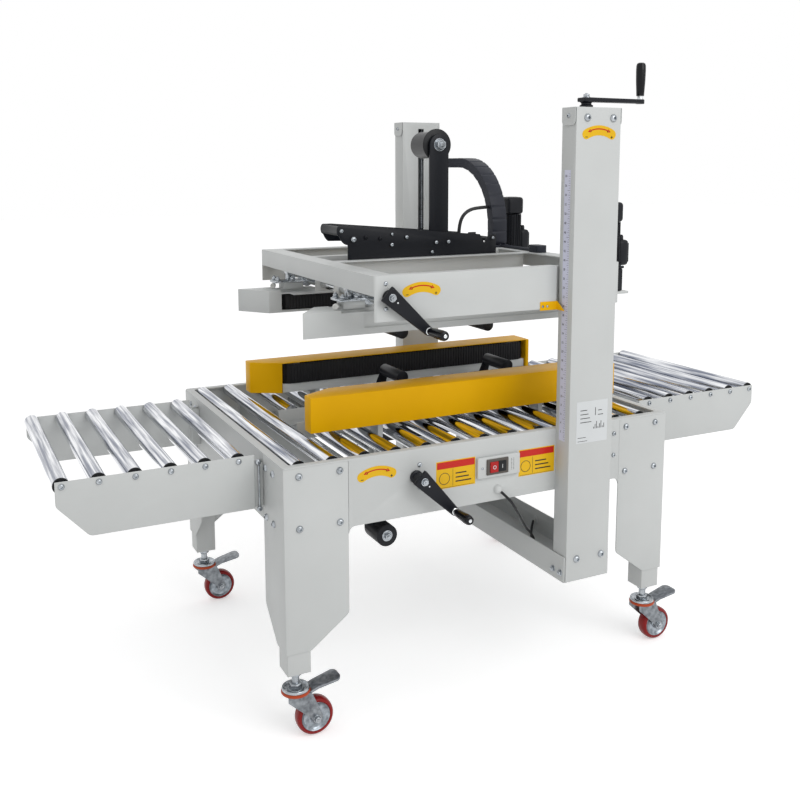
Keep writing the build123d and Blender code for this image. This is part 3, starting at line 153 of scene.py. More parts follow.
def grain(material, shader, scale, strength, distance, stretch=(1, 1, 1)):
    """Fine relief in the surface."""
    tree = material.node_tree
    noise = add_node(material, "ShaderNodeTexNoise", Scale=scale, Detail=3.0)
    tree.links.new(object_coordinates(material, stretch), noise.inputs["Vector"])
    bump = add_node(material, "ShaderNodeBump", Strength=strength, Distance=distance)
    tree.links.new(noise.outputs["Fac"], bump.inputs["Height"])
    tree.links.new(bump.outputs["Normal"], shader.inputs["Normal"])


def cloudy_gloss(material, shader, low, high, scale):
    """Roughness that changes in soft clouds, as on a coat that was sprayed by hand."""
    tree = material.node_tree
    noise = add_node(material, "ShaderNodeTexNoise", Scale=scale, Detail=2.0)
    tree.links.new(object_coordinates(material, (1, 1, 1)), noise.inputs["Vector"])
    spread = tree.nodes.new("ShaderNodeMapRange")
    spread.inputs["To Min"].default_value = low
    spread.inputs["To Max"].default_value = high
    tree.links.new(noise.outputs["Fac"], spread.inputs["Value"])
    tree.links.new(spread.outputs["Result"], shader.inputs["Roughness"])


def coated(name, colour, darker, low, high, orange_peel=0.16):
    """Powder coat or moulded plastic: one colour, a fine orange peel and a cloudy gloss."""
    material, shader = shader_material(name, 0.0, (low + high) / 2)
    mottle(material, shader, colour, darker, scale=7.0)
    grain(material, shader, scale=460.0, strength=orange_peel, distance=0.0004)
    cloudy_gloss(material, shader, low, high, scale=11.0)
    return material


black_sleeve = coated("black_sleeve", (0.014, 0.015, 0.017), (0.008, 0.008, 0.009), 0.34, 0.5)


def lay_cord(name, route, diameter, body):
    """A round cord along one smooth spline with the route's points as its control points."""
    curve = bpy.data.curves.new(name, "CURVE")
    curve.dimensions = "3D"
    curve.bevel_depth = diameter / 2
    curve.bevel_resolution = 5
    curve.resolution_u = 10
    curve.use_fill_caps = True
    spline = curve.splines.new("NURBS")
    spline.points.add(len(route) - 1)
    for point, place in zip(spline.points, route):
        point.co = (*place, 1)
    spline.order_u = 3
    spline.use_endpoint_u = True
    curve.materials.append(black_sleeve)
    cord = bpy.data.objects.new(name, curve)
    bpy.context.scene.collection.objects.link(cord)
    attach(cord, body)
    return cord


mains_route = [
    (0.016, -0.384, 0.460),
    (0.032, -0.398, 0.443),
    (0.056, -0.388, 0.410),
    (0.090, -0.356, 0.374),
    (0.124, -0.322, 0.338),
    (0.156, -0.296, 0.312),
    (0.182, -0.272, 0.284),
    (0.202, -0.244, 0.258),
    (0.222, -0.208, 0.248),
    (0.240, -0.176, 0.252),
    (0.258, -0.154, 0.262),
    (0.270, -0.142, 0.268),
]
mains_cord = lay_cord("mains_cord", mains_route, 0.006, "base")
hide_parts("mains_cable")

hose_route = [
    (0.139, 0.020, 0.9785),
    (0.140, 0.021, 1.008),
    (0.156, 0.032, 1.036),
    (0.192, 0.057, 1.050),
    (0.238, 0.088, 1.053),
    (0.28125, 0.111, 1.053),
]
air_hose = lay_cord("air_hose", hose_route, 0.009, "head")
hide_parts("head_hose")

# Sheet metal of the bed, the legs, the masts and the head
# Steel sheet, 3 mm, laser cut and folded, welded at hidden corners and powder coated in a pale grey.
pale_coat = coated("pale_coat", (0.575, 0.590, 0.584), (0.548, 0.563, 0.557), 0.34, 0.48)
yellow_coat = coated("yellow_coat", (0.82, 0.44, 0.001), (0.77, 0.40, 0.001), 0.34, 0.46)
yellow_coat.node_tree.nodes["Principled BSDF"].inputs["Specular IOR Level"].default_value = 0.10
black_coat = coated("black_coat", (0.0050, 0.0062, 0.0100), (0.0035, 0.0045, 0.0075), 0.34, 0.46)


def pick(*pieces):
    """Selects only these pieces and makes the first one active."""
    bpy.ops.object.select_all(action="DESELECT")
    for piece in pieces:
        piece.select_set(True)
    bpy.context.view_layer.objects.active = pieces[0]


def finish_edges(piece, edge, segments=2):
    """Rounds the sharp edges of a piece and smooths its curves."""
    if edge > 0:
        rounding = piece.modifiers.new("edges", "BEVEL")
        rounding.width = edge
        rounding.segments = segments
        rounding.limit_method = "ANGLE"
        rounding.angle_limit = math.radians(40)
        bpy.ops.object.modifier_apply(modifier=rounding.name)
    bpy.ops.object.shade_smooth_by_angle(angle=math.radians(35))


def plain_copy(node, material):
    """A copy of a node's mesh with its flat faces merged, before its edges are rounded."""
    piece = bpy.data.objects.new(node + "_finished", frame["nodes"][node].data.copy())
    bpy.context.scene.collection.objects.link(piece)
    piece.data.materials.clear()
    piece.data.materials.append(material)
    pick(piece)
    bpy.ops.object.mode_set(mode="EDIT")
    bpy.ops.mesh.select_all(action="SELECT")
    bpy.ops.mesh.remove_doubles(threshold=0.00001)
    bpy.ops.mesh.dissolve_limited(angle_limit=math.radians(0.5))
    bpy.ops.object.mode_set(mode="OBJECT")
    return piece


def stand_for(piece, node):
    """Puts a piece in a node's place, on the node's body."""
    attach(piece, frame["nodes"][node]["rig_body"])
    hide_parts(node)


def dress(node, material, edge=0.0006, patches=()):
    """Shows a node's own shape with rounded edges; a patch gives the faces in a box another coat."""
    piece = plain_copy(node, material)
    finish_edges(piece, edge)
    for coat, low, high in patches:
        piece.data.materials.append(coat)
        slot_index = len(piece.data.materials) - 1
        for face in piece.data.polygons:
            if all(low[axis] <= face.center[axis] <= high[axis] for axis in range(3)):
                face.material_index = slot_index
    stand_for(piece, node)
    return piece


for node in (
    "bed_frame",
    "legs",
    "leg_tubes",
    "cross_channel",
    "left_extension_frame",
    "right_extension_frame",
    "front_mast",
    "rear_mast",
    "cartridge_rails",
):
    dress(node, pale_coat, edge=0.0013)
guide_roller_box = ((-0.26, -0.31, 0.3), (-0.19, -0.23, 0.47))
dress("bed_rails", pale_coat, patches=[(black_coat, *guide_roller_box)])
pointer_box = ((0.112, -0.41, 0.85), (0.16, -0.3792, 0.871))
dress("head_frame", pale_coat, edge=0.0013, patches=[(yellow_coat, *pointer_box)])

# Rollers and rods
# Rollers are drawn steel tube, hard chromed, with a black nylon bearing pressed into each end.
# The rods are ground and chromed.


def bright_metal(name, colour, darker, roughness, scale, stretch=(1, 1, 1), spread=0.2):
    """Plated or ground metal: two tones in patches of one scale, and a fine relief."""
    material, shader = shader_material(name, 1.0, roughness)
    mottle(material, shader, colour, darker, scale, stretch, spread)
    grain(material, shader, 2 * scale, 0.16, 0.0004, stretch)
    return material


# The roller chrome's darker blue-grey tone, drawn out into long streaks along each roller, is painted
# reflection: it paints the dark streaks that a bright tube mirrors from its surroundings.
reflection_streak_stretch = (1, 0.035, 1)
roller_chrome = bright_metal(
    "roller_chrome", (0.90, 0.91, 0.93), (0.20, 0.22, 0.28), 0.11, 150.0, reflection_streak_stretch, 0.13
)
rod_chrome = bright_metal("rod_chrome", (0.78, 0.80, 0.81), (0.55, 0.57, 0.59), 0.12, 60.0)
nylon_black = coated("nylon_black", (0.010, 0.011, 0.013), (0.006, 0.007, 0.008), 0.30, 0.42, 0.05)
for node in ("guide_rods", "head_slide_rods"):
    dress(node, rod_chrome, edge=0)
dress("bed_rollers", roller_chrome, edge=0)


def spun(name, profile, steps, material):
    """A turned piece: its profile in radius and height, spun about the Z axis."""
    mesh = bpy.data.meshes.new(name)
    mesh.from_pydata(
        [(radius, 0, height) for radius, height in profile],
        [(index, index + 1) for index in range(len(profile) - 1)],
        [],
    )
    piece = bpy.data.objects.new(name, mesh)
    bpy.context.scene.collection.objects.link(piece)
    pick(piece)
    bpy.ops.object.mode_set(mode="EDIT")
    bpy.ops.mesh.select_all(action="SELECT")
    bpy.ops.mesh.spin(steps=steps, angle=math.tau, center=(0, 0, 0), axis=(0, 0, 1))
    bpy.ops.mesh.select_all(action="SELECT")
    bpy.ops.mesh.remove_doubles(threshold=0.00001)
    bpy.ops.mesh.normals_make_consistent(inside=False)
    bpy.ops.object.mode_set(mode="OBJECT")
    bpy.ops.object.shade_smooth_by_angle(angle=math.radians(35))
    mesh.materials.append(material)
    return piece


def along(model, point, facing):
    """Puts a modelled piece at a point, its Z axis turned to face a direction."""
    turn = Vector(facing).to_track_quat("Z", "Y").to_matrix().to_4x4()
    model.data.transform(Matrix.Translation(point) @ turn)
    return model


def weld(name, pieces, body):
    """Joins modelled pieces to one."""
    pick(*pieces)
    bpy.ops.object.join()
    joined = bpy.context.object
    joined.name = name
    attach(joined, body)
    return joined


def set_out(name, model, places, body):
    """Copies of one modelled piece, each facing its own way, joined as one piece; the model goes."""
    copies = []
    for point, facing in places:
        copy = bpy.data.objects.new(name, model.data.copy())
        bpy.context.scene.collection.objects.link(copy)
        copies.append(along(copy, point, facing))
    joined = weld(name, copies, body)
    bpy.data.objects.remove(model)
    return joined


def bearing_cap(name):
    """Black nylon bearing: a ring round the tube's end and a dished face with the bore."""
    return spun(
        name,
        [
            (0.0054, 0.0012),
            (0.0090, 0.0012),
            (0.0100, 0.0004),
            (0.0128, 0.0004),
            (0.0138, 0.0020),
            (0.0152, 0.0020),
            (0.0158, 0.0014),
            (0.0158, -0.0004),
            (0.0150, -0.0010),
        ],
        28,
        nylon_black,
    )


roller_height = 0.5715
bed_roller_count, full_rollers = 13, 2
bed_roller_end, well_end = 0.356, 0.0735
cap_places = []
for index in range(bed_roller_count):
    roller_x = -0.440 + 0.0714 * index
    ends = [(-bed_roller_end, -1), (bed_roller_end, 1)]
    if full_rollers <= index < bed_roller_count - full_rollers:
        ends += [(-well_end, 1), (well_end, -1)]
    for end_y, way in ends:
        cap_places.append(((roller_x, end_y, roller_height), (0, way, 0)))
set_out("bed_roller_bearings", bearing_cap("bed_bearing"), cap_places, "base")

extension_roller_x = [0.873 - 0.0682 * index for index in range(6)]
extension_roller_end = 0.2535
for side, way in (("left", -1), ("right", 1)):
    for number, roller_x in enumerate(extension_roller_x, start=1):
        roller = f"{side}_extension_roller_{number}"
        dress(roller, roller_chrome, edge=0)
        set_out(
            roller + "_bearings",
            bearing_cap("extension_bearing"),
            [((way * roller_x, end * extension_roller_end, roller_height), (0, end, 0)) for end in (-1, 1)],
            frame["nodes"][roller]["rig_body"],
        )

# Screws, bolts and nuts of the bed, the legs, the masts and the extensions
# Button-head socket screws hold the panels; everything is zinc plated and sits on the painted sheet.
zinc_plate = bright_metal("zinc_plate", (0.50, 0.53, 0.56), (0.27, 0.29, 0.31), 0.27, 90.0)


def button_screw(name, radius, material):
    """Domed head with a hexagon socket, standing on z = 0."""
    return spun(
        name,
        [
            (0, 0.22 * radius),
            (0.36 * radius, 0.22 * radius),
            (0.40 * radius, 0.66 * radius),
            (0.56 * radius, 0.64 * radius),
            (0.80 * radius, 0.48 * radius),
            (0.96 * radius, 0.22 * radius),
            (radius, 0.02 * radius),
            (radius, -0.02 * radius),
        ],
        18,
        material,
    )


def unselect_mesh():
    """Leaves no vertex, edge or face of the active piece selected."""
    bpy.ops.object.mode_set(mode="EDIT")
    bpy.ops.mesh.select_all(action="DESELECT")
    bpy.ops.object.mode_set(mode="OBJECT")


def hexagon_bolt(name, across, height, material, tip=0.0):
    """Hexagon head or nut on a washer, standing on z = 0, with the bolt's end above it."""
    bpy.ops.object.select_all(action="DESELECT")
    radius = across / math.sqrt(3)
    washer = 0.0016
    middle = (0, 0, washer + height / 2)
    bpy.ops.mesh.primitive_cylinder_add(vertices=6, radius=radius, depth=height, location=middle)
    hexagon = bpy.context.object
    hexagon.name = name
    bpy.ops.object.transform_apply()
    unselect_mesh()
    for face in hexagon.data.polygons:
        face.select = face.normal.z > 0.9
    bpy.ops.object.mode_set(mode="EDIT")
    bpy.ops.mesh.inset(thickness=0.12 * radius, depth=0.10 * radius)
    bpy.ops.mesh.inset(thickness=0.34 * radius)
    bpy.ops.mesh.extrude_region_move(TRANSFORM_OT_translate={"value": (0, 0, tip)})
    bpy.ops.object.mode_set(mode="OBJECT")
    hexagon.data.materials.append(material)
    ring = spun(
        name + "_washer",
        [(0, washer), (1.22 * radius, washer), (1.26 * radius, 0.7 * washer), (1.26 * radius, -0.0002)],
        24,
        material,
    )
    pick(hexagon, ring)
    bpy.ops.object.join()
    finish_edges(hexagon, 0.0003, 1)
    return hexagon


def block(name, low, high, edge, material, segments=2):
    """A milled or folded block between two corners with rounded edges."""
    centre = [(a + b) / 2 for a, b in zip(low, high)]
    bpy.ops.object.select_all(action="DESELECT")
    bpy.ops.mesh.primitive_cube_add(size=1, location=centre)
    piece = bpy.context.object
    piece.name = name
    piece.scale = [b - a for a, b in zip(low, high)]
    bpy.ops.object.transform_apply()
    piece.data.materials.append(material)
    finish_edges(piece, edge, segments)
    return piece


def to_operator(y, points):
    """Places on a face towards the operator, given by their x and z."""
    return [((x, y, z), (0, -1, 0)) for x, z in points]


panel_y = 0.378
leg_x = 0.480
leg_screws = []
for side in (-1, 1):
    for way in (-1, 1):
        for screw_x in (0.4475, 0.3607):
            for screw_z in (0.562, 0.455):
                leg_screws.append(((side * screw_x, way * panel_y, screw_z), (0, way, 0)))
        for screw_y in (0.320, 0.275):
            for screw_z in (0.555, 0.451):
                leg_screws.append(((side * leg_x, way * screw_y, screw_z), (side, 0, 0)))
panel_screws = to_operator(-panel_y, [(0.326, 0.549), (0.326, 0.498), (-0.181, 0.548), (-0.181, 0.500)])
set_out("leg_screws", button_screw("leg_screw", 0.0075, zinc_plate), leg_screws, "base")
set_out("panel_screws", button_screw("panel_screw", 0.0055, zinc_plate), panel_screws, "base")

extension_y = 0.2605
axle_screws = []
for way in (-1, 1):
    for roller_x in extension_roller_x:
        for side in (-1, 1):
            axle_screws.append(((side * roller_x, way * extension_y, roller_height), (0, way, 0)))
set_out("axle_screws", button_screw("axle_screw", 0.0062, zinc_plate), axle_screws, "base")

mast_y = 0.427
mast_screws = []
for way in (-1, 1):
    for screw_x in (0.190, 0.258):
        for screw_z in (1.262, 0.290):
            mast_screws.append(((screw_x, way * mast_y, screw_z), (0, way, 0)))
set_out("mast_screws", button_screw("mast_screw", 0.0085, zinc_plate), mast_screws, "base")
channel_places = [((0.1585, way * y, 0.258), (-1, 0, 0)) for way in (-1, 1) for y in (0.384, 0.411)]
channel_bolt = hexagon_bolt("channel_bolt", 0.010, 0.004, zinc_plate, 0.002)
set_out("channel_bolts", channel_bolt, channel_places, "base")
bracket_places = to_operator(-extension_y, [(-0.491, 0.565), (-0.490, 0.466)])
bracket_places += [((-x, -y, z), (0, 1, 0)) for (x, y, z), facing in bracket_places]
bracket_screw = button_screw("bracket_screw", 0.0062, zinc_plate)
set_out("bracket_screws", bracket_screw, bracket_places, "base")
for side in (-1, 1):
    for way in (-1, 1):
        low_x, high_x = sorted((side * 0.4925, side * 0.4885))
        low_y, high_y = sorted((way * 0.2603, way * 0.2636))
        bar_name = f"bracket_bar_{side + 1}{way + 1}"
        bar = block(bar_name, (low_x, low_y, 0.473), (high_x, high_y, 0.558), 0.001, zinc_plate)
        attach(bar, "base")
guide_bolt = hexagon_bolt("guide_roller_bolt", 0.013, 0.006, zinc_plate, 0.003)
ring_profile = [(0.0092, 0.0006), (0.0100, 0.0014), (0.0120, 0.0014), (0.0125, 0)]
guide_ring = spun("guide_ring", ring_profile, 32, zinc_plate)
for piece in (guide_bolt, guide_ring):
    along(piece, (-0.219, -0.300, 0.373), (0, -1, 0))
weld("guide_roller_bolt", [guide_bolt, guide_ring], "base")

# Caps of the masts
# Folded lids with a rounded tab down each side; one dark screw goes through each tab.
tab_thickness, tab_rounding = 0.0014, 0.010
tab_bottom, tab_top = 1.246, 1.2838
for mast, way in (("front", -1), ("rear", 1)):
    parts = []
    for side_x, side in ((0.160, -1), (0.280, 1)):
        low_x, high_x = sorted((side_x, side_x + side * tab_thickness))
        low_y, high_y = sorted((way * 0.380, way * 0.4265))
        tab = block("tab", (low_x, low_y, tab_bottom), (high_x, high_y, tab_top), 0, pale_coat)
        unselect_mesh()
        for corner in tab.data.edges:
            ends = [tab.data.vertices[index].co for index in corner.vertices]
            runs_across = abs(ends[0].x - ends[1].x) > tab_thickness / 2
            corner.select = runs_across and all(end.z < tab_bottom + tab_rounding / 2 for end in ends)
        bpy.context.tool_settings.mesh_select_mode = (False, True, False)
        bpy.ops.object.mode_set(mode="EDIT")
        bpy.ops.mesh.bevel(offset=tab_rounding, segments=6, affect="EDGES")
        bpy.ops.object.mode_set(mode="OBJECT")
        bpy.context.tool_settings.mesh_select_mode = (True, False, False)
        finish_edges(tab, 0.0004, 1)
        parts.append(tab)
    weld(f"{mast}_mast_cap_tabs", parts, "base")
    set_out(
        f"{mast}_cap_screws",
        button_screw("cap_screw", 0.0052, zinc_plate),
        [((0.1586, way * 0.404, 1.266), (-1, 0, 0)), ((0.2814, way * 0.404, 1.266), (1, 0, 0))],
        "base",
    )

# Signs on the panels and masts
# Printed film on the paint: bent arrow signs beside the three cranks and two plates in two colours.
film_yellow = coated("film_yellow", (0.78, 0.47, 0.008), (0.72, 0.42, 0.006), 0.24, 0.32, 0.03)
film_red = coated("film_red", (0.56, 0.018, 0.010), (0.50, 0.014, 0.008), 0.24, 0.32, 0.03)
film_black = coated("film_black", (0.018, 0.018, 0.020), (0.012, 0.012, 0.013), 0.24, 0.32, 0.03)
film_white = coated("film_white", (0.66, 0.68, 0.69), (0.62, 0.64, 0.65), 0.26, 0.34, 0.03)
film_depth, print_depth = 0.0003, 0.0002


def film(name, outlines, height, thickness, material, place, body):
    """Flat shapes cut from film: outlines in the sign's plane, raised a little, then put in place."""
    curve = bpy.data.curves.new(name, "CURVE")
    curve.dimensions = "2D"
    curve.fill_mode = "BOTH"
    curve.extrude = thickness / 2
    for outline in outlines:
        spline = curve.splines.new("POLY")
        spline.points.add(len(outline) - 1)
        for point, (x, y) in zip(spline.points, outline):
            point.co = (x, y, 0, 1)
        spline.use_cyclic_u = True
    flat = bpy.data.objects.new(name, curve)
    bpy.context.scene.collection.objects.link(flat)
    pick(flat)
    bpy.ops.object.convert(target="MESH")
    sign = bpy.context.object
    sign.data.materials.clear()
    sign.data.materials.append(material)
    sign.data.transform(place @ Matrix.Translation((0, 0, height + thickness / 2)))
    bpy.ops.object.shade_flat()
    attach(sign, body)
    return sign


def front_face(x, y, z):
    """Plane of a sign on a face towards the operator: its X along X, its Y upwards."""
    return Matrix.Translation((x, y, z)) @ Matrix.Rotation(math.radians(90), 4, "X")


def rectangle(left, bottom, right, top):
    """Outline of a bar or a plate."""
    return [(left, bottom), (right, bottom), (right, top), (left, top)]


def ring_outlines(x, y, radii, steps):
    """Two circles, one inside the other, with a ring between them."""
    turns = [math.tau * step / steps for step in range(steps)]
    circles = []
    for radius in radii:
        circles.append([(x + radius * math.cos(turn), y + radius * math.sin(turn)) for turn in turns])
    return circles


def bow(radius, half_width, half_angle, steps=16, end_steps=8):
    """Outline of a bent band with round ends, its middle at the origin, bowed upwards."""
    outline = []
    for step in range(steps + 1):
        turn = half_angle * (1 - 2 * step / steps)
        reach = radius + half_width
        outline.append((-reach * math.sin(turn), reach * math.cos(turn) - radius))
    for end in (1, -1):
        centre = (end * radius * math.sin(half_angle), radius * math.cos(half_angle) - radius)
        angle = end * half_angle
        for step in range(1, end_steps):
            turn = math.pi * step / end_steps
            across, ahead = end * half_width * math.cos(turn), end * half_width * math.sin(turn)
            outline.append(
                (
                    centre[0] + across * math.sin(angle) + ahead * math.cos(angle),
                    centre[1] + across * math.cos(angle) - ahead * math.sin(angle),
                )
            )
        if end > 0:
            for step in range(steps + 1):
                turn = half_angle * (2 * step / steps - 1)
                reach = radius - half_width
                outline.append((-reach * math.sin(turn), reach * math.cos(turn) - radius))
    return outline


def arrow_sign(name, x, y, z, body):
    """Bent yellow sign with a red double arrow, and a plus and a minus below its ends."""
    place = front_face(x, y, z)
    radius, tip_angle, root_angle = 0.070, 0.44, 0.33
    head_side, arrow_raise = 0.0038, 0.003
    film(name, [bow(radius, 0.0105, 0.50)], 0, film_depth, film_yellow, place, body)
    arrow = [bow(radius, 0.0012, 0.34)]
    for end in (-1, 1):
        tip = (end * radius * math.sin(tip_angle), radius * math.cos(tip_angle) - radius)
        root_x, root_y = end * radius * math.sin(root_angle), radius * math.cos(root_angle) - radius
        side_x, side_y = end * head_side * math.sin(root_angle), head_side * math.cos(root_angle)
        arrow.append([tip, (root_x + side_x, root_y + side_y), (root_x - side_x, root_y - side_y)])
    arrow = [[(x, y + arrow_raise) for x, y in outline] for outline in arrow]
    film(name + "_arrow", arrow, film_depth, print_depth, film_red, place, body)
    marks = [rectangle(-0.036, -0.0150, -0.030, -0.0136), rectangle(0.030, -0.0150, 0.036, -0.0136)]
    marks.append(rectangle(0.0323, -0.0173, 0.0337, -0.0113))
    film(name + "_marks", marks, film_depth, print_depth, film_black, place, body)


fascia_y = 0.379
arrow_sign("bed_arrow_sign", -0.279, -panel_y, 0.549, "base")
arrow_sign("mast_arrow_sign", 0.2215, -mast_y, 1.236, "base")
arrow_sign("head_arrow_sign", -0.1775, -fascia_y, 0.920, "head")


def two_colour_plate(name, left, right, bottom, top, split):
    """Yellow plate with a red band along its top, a ring on the left and short bars on the right."""
    place = front_face(left, -panel_y, bottom)
    width, height = right - left, top - bottom
    band, rim = 0.72 * height, 0.002
    film(name, [rectangle(0, 0, width, height)], 0, film_depth, film_yellow, place, "base")
    red = [rectangle(rim, band, width - rim, height - rim)]
    film(name + "_band", red, film_depth, print_depth, film_red, place, "base")
    bars = [rectangle(split, 2 * rim, split + 0.0007, band - rim)]
    bars.append(rectangle(0.003, 0.0016, width - 0.003, 0.0022))
    for row in range(3):
        low = 0.011 + 0.009 * row
        bars.append(rectangle(split + 0.007, low, width - 0.010 - 0.006 * row, low + 0.0026))
    film(name + "_bars", bars, film_depth, print_depth, film_black, place, "base")
    circles = ring_outlines(split / 2, band / 2, (0.0130, 0.0118), 32)
    film(name + "_ring", circles, film_depth, print_depth, film_black, place, "base")


two_colour_plate("left_plate", -0.142, -0.0465, 0.487, 0.547, 0.040)
two_colour_plate("right_plate", 0.0645, 0.159, 0.485, 0.545, 0.036)

# Diagram plate on the front mast
# A pale film plate stuck on the paint, printed with black bars and steps.
diagram_place = front_face(0.181, -mast_y, 0.556)
plate = [rectangle(0, 0, 0.084, 0.094)]
film("mast_plate", plate, 0, film_depth, film_white, diagram_place, "base")
bar = 0.0015
diagram = [rectangle(0.004, 0.0040, 0.030, 0.0050), rectangle(0.004, 0.0120, 0.026, 0.0130)]
for step in range(8):
    left = 0.046 + 0.004 * step
    diagram.append(rectangle(left, 0.030, left + bar, 0.034 + 0.006 * (step % 3)))
for row in range(4):
    low = 0.046 + 0.009 * row
    diagram.append(rectangle(0.010, low, 0.040 - 0.004 * row, low + bar))
diagram.append(rectangle(0.050, 0.060, 0.050 + bar, 0.078))
diagram.append(rectangle(0.058, 0.060, 0.072, 0.060 + bar))
diagram.append(rectangle(0.058, 0.070, 0.068, 0.070 + bar))
film("mast_plate_print", diagram, film_depth, print_depth, film_black, diagram_place, "base")

# Height scale
# A pale printed strip on the mast's side, in half centimetres, that the head's pointer runs along.
scale_place = Matrix(((0, 0, -1, 0.162), (-1, 0, 0, -0.4005), (0, 1, 0, 0.560), (0, 0, 0, 1)))
film_pale = coated("film_pale", (0.66, 0.67, 0.80), (0.62, 0.63, 0.76), 0.26, 0.34, 0.03)
strip = [rectangle(-0.0105, 0, 0.0105, 0.593)]
film("height_scale", strip, 0, film_depth, film_pale, scale_place, "base")
tick_step, half_tick, tick_root = 0.005, 0.0003, 0.0100
ticks = []
for tick in range(1, 118):
    reach = 0.009 if tick % 10 == 0 else 0.006 if tick % 2 == 0 else 0.0035
    tick_z = tick_step * tick
    ticks.append(rectangle(tick_root - reach, tick_z - half_tick, tick_root, tick_z + half_tick))
film("height_scale_ticks", ticks, film_depth, 0.0001, film_black, scale_place, "base")
for number in range(2, 59, 2):
    digits = bpy.data.curves.new("scale_number", "FONT")
    digits.body = str(number)
    digits.size = 0.0072
    digits.extrude = 0.00005
    digits.align_x = "CENTER"
    digits.align_y = "CENTER"
    written = bpy.data.objects.new("scale_number", digits)
    bpy.context.scene.collection.objects.link(written)
    pick(written)
    bpy.ops.object.convert(target="MESH")
    written = bpy.context.object
    written.name = f"scale_number_{number:02d}"
    written.data.materials.clear()
    written.data.materials.append(film_black)
    number_place = Matrix.Translation((-0.0045, 2 * tick_step * number, 0.0004))
    written.data.transform(scale_place @ number_place)
    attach(written, "base")

# Casters
# Pressed and zinc plated forks with a ball race under a red seal, a large brake pedal and red
# polyurethane treads on pressed hubs; a threaded stem with its nut goes up into the leg tube.
red_tread = coated("red_tread", (0.27, 0.008, 0.008), (0.20, 0.006, 0.006), 0.22, 0.32, 0.06)
seal_red = coated("seal_red", (0.50, 0.075, 0.020), (0.42, 0.055, 0.015), 0.34, 0.42, 0.04)
caster_reach_x, caster_reach_y = 0.4515, 0.3495
caster_places = {
    "front_left": (-caster_reach_x, -caster_reach_y),
    "front_right": (caster_reach_x, -caster_reach_y),
    "rear_left": (-caster_reach_x, caster_reach_y),
    "rear_right": (caster_reach_x, caster_reach_y),
}
caster_zinc = bright_metal("caster_zinc", (0.30, 0.32, 0.34), (0.13, 0.14, 0.155), 0.30, 110.0)
hub_zinc = bright_metal("hub_zinc", (0.40, 0.44, 0.48), (0.17, 0.19, 0.21), 0.28, 130.0)
bowl_seat, stem_top, stem_radius = 0.1082, 0.1478, 0.0078
bowl = spun(
    "bowl",
    [(0.0272, 0.1064), (0.0284, 0.1066), (0.0289, 0.1082), (0.0286, 0.1108), (0.0274, 0.1122),
     (0.0258, 0.1118), (0.0240, 0.1096), (0.0215, bowl_seat), (0.0080, bowl_seat)],
    40,
    zinc_plate,
)
stem_profile = [(0, 0.1075), (stem_radius, 0.1075), (stem_radius, stem_top), (0, stem_top)]
stem = spun("stem", stem_profile, 24, zinc_plate)
low_nut = hexagon_bolt("low_nut", 0.024, 0.0095, zinc_plate)
low_nut.data.transform(Matrix.Translation((0, 0, bowl_seat)))
high_nut = hexagon_bolt("high_nut", 0.0225, 0.0090, zinc_plate)
high_nut.data.transform(Matrix.Translation((0, 0, stem_top)) @ Matrix.Rotation(math.pi, 4, "X"))
stem_model = weld("stem_model", [bowl, stem, low_nut, high_nut], "base")
stem_places = [((x, y, 0), (0, 0, 1)) for x, y in caster_places.values()]
stems = set_out("caster_stems_finished", stem_model, stem_places, "base")
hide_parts("caster_stems")
pedal_start, pedal_height, pedal_flare = 0.041, 0.098, 6.5
for corner, (caster_x, caster_y) in caster_places.items():
    fork_body = frame["nodes"][f"{corner}_caster_fork"]["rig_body"]
    wheel_body = frame["nodes"][f"{corner}_caster_wheel"]["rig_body"]
    fork = dress(f"{corner}_caster_fork", caster_zinc, edge=0.0010)
    for point in fork.data.vertices:
        reach = point.co.x - caster_x - pedal_start
        if reach > 0 and point.co.z > pedal_height:
            point.co.y = caster_y + (point.co.y - caster_y) * (1 + pedal_flare * reach)
    seal = spun(
        f"{corner}_race_seal",
        [(0.0275, 0.0998), (0.0290, 0.0998), (0.0300, 0.1010), (0.0302, 0.1035), (0.0296, 0.1056),
         (0.0275, 0.1062)],
        40,
        seal_red,
    )
    seal.data.transform(Matrix.Translation((caster_x, caster_y, 0)))
    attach(seal, fork_body)
    wheel_low, wheel_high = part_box(f"{corner}_caster_wheel")
    axle_x, axle_z = (wheel_low[0] + wheel_high[0]) / 2, (wheel_low[2] + wheel_high[2]) / 2
    set_out(
        f"{corner}_axle_nuts",
        hexagon_bolt("axle_nut", 0.012, 0.0050, zinc_plate, tip=0.002),
        [((axle_x, caster_y + way * 0.0201, axle_z), (0, way, 0)) for way in (-1, 1)],
        fork_body,
    )
    half = [(0.0308, 0.0100), (0.0314, 0.0128), (0.0334, 0.0138), (0.0358, 0.0134), (0.0380, 0.0114),
            (0.0394, 0.0080), (0.0399, 0.0040)]
    tread_profile = half + [(radius, -height) for radius, height in reversed(half)]
    tread = spun(f"{corner}_wheel_tread", tread_profile + [half[0]], 56, red_tread)
    along(tread, (axle_x, caster_y, axle_z), (0, -1, 0))
    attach(tread, wheel_body)
    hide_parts(f"{corner}_caster_wheel")
    hub = spun(
        "hub_disc",
        [(0.0044, 0.0124), (0.0098, 0.0124), (0.0110, 0.0112), (0.0122, 0.0090), (0.0190, 0.0078),
         (0.0240, 0.0080), (0.0272, 0.0096), (0.0288, 0.0122), (0.0304, 0.0130), (0.0311, 0.0122),
         (0.0311, 0.0060)],
        40,
        hub_zinc,
    )
    set_out(
        f"{corner}_hub_discs",
        hub,
        [((axle_x, caster_y, axle_z), (0, way, 0)) for way in (-1, 1)],
        wheel_body,
    )

# Belt units on the bed
# Yellow folded covers over black ribbed drive belts, carried by plates on the cross rods.
for unit in ("near", "far"):
    dress(f"{unit}_belt_cover", yellow_coat, edge=0.0015)
for unit in ("near", "far"):
    dress(f"{unit}_belt_carriage", pale_coat)
belt_rubber = coated("belt_rubber", (0.013, 0.013, 0.014), (0.008, 0.008, 0.009), 0.5, 0.66, 0.3)


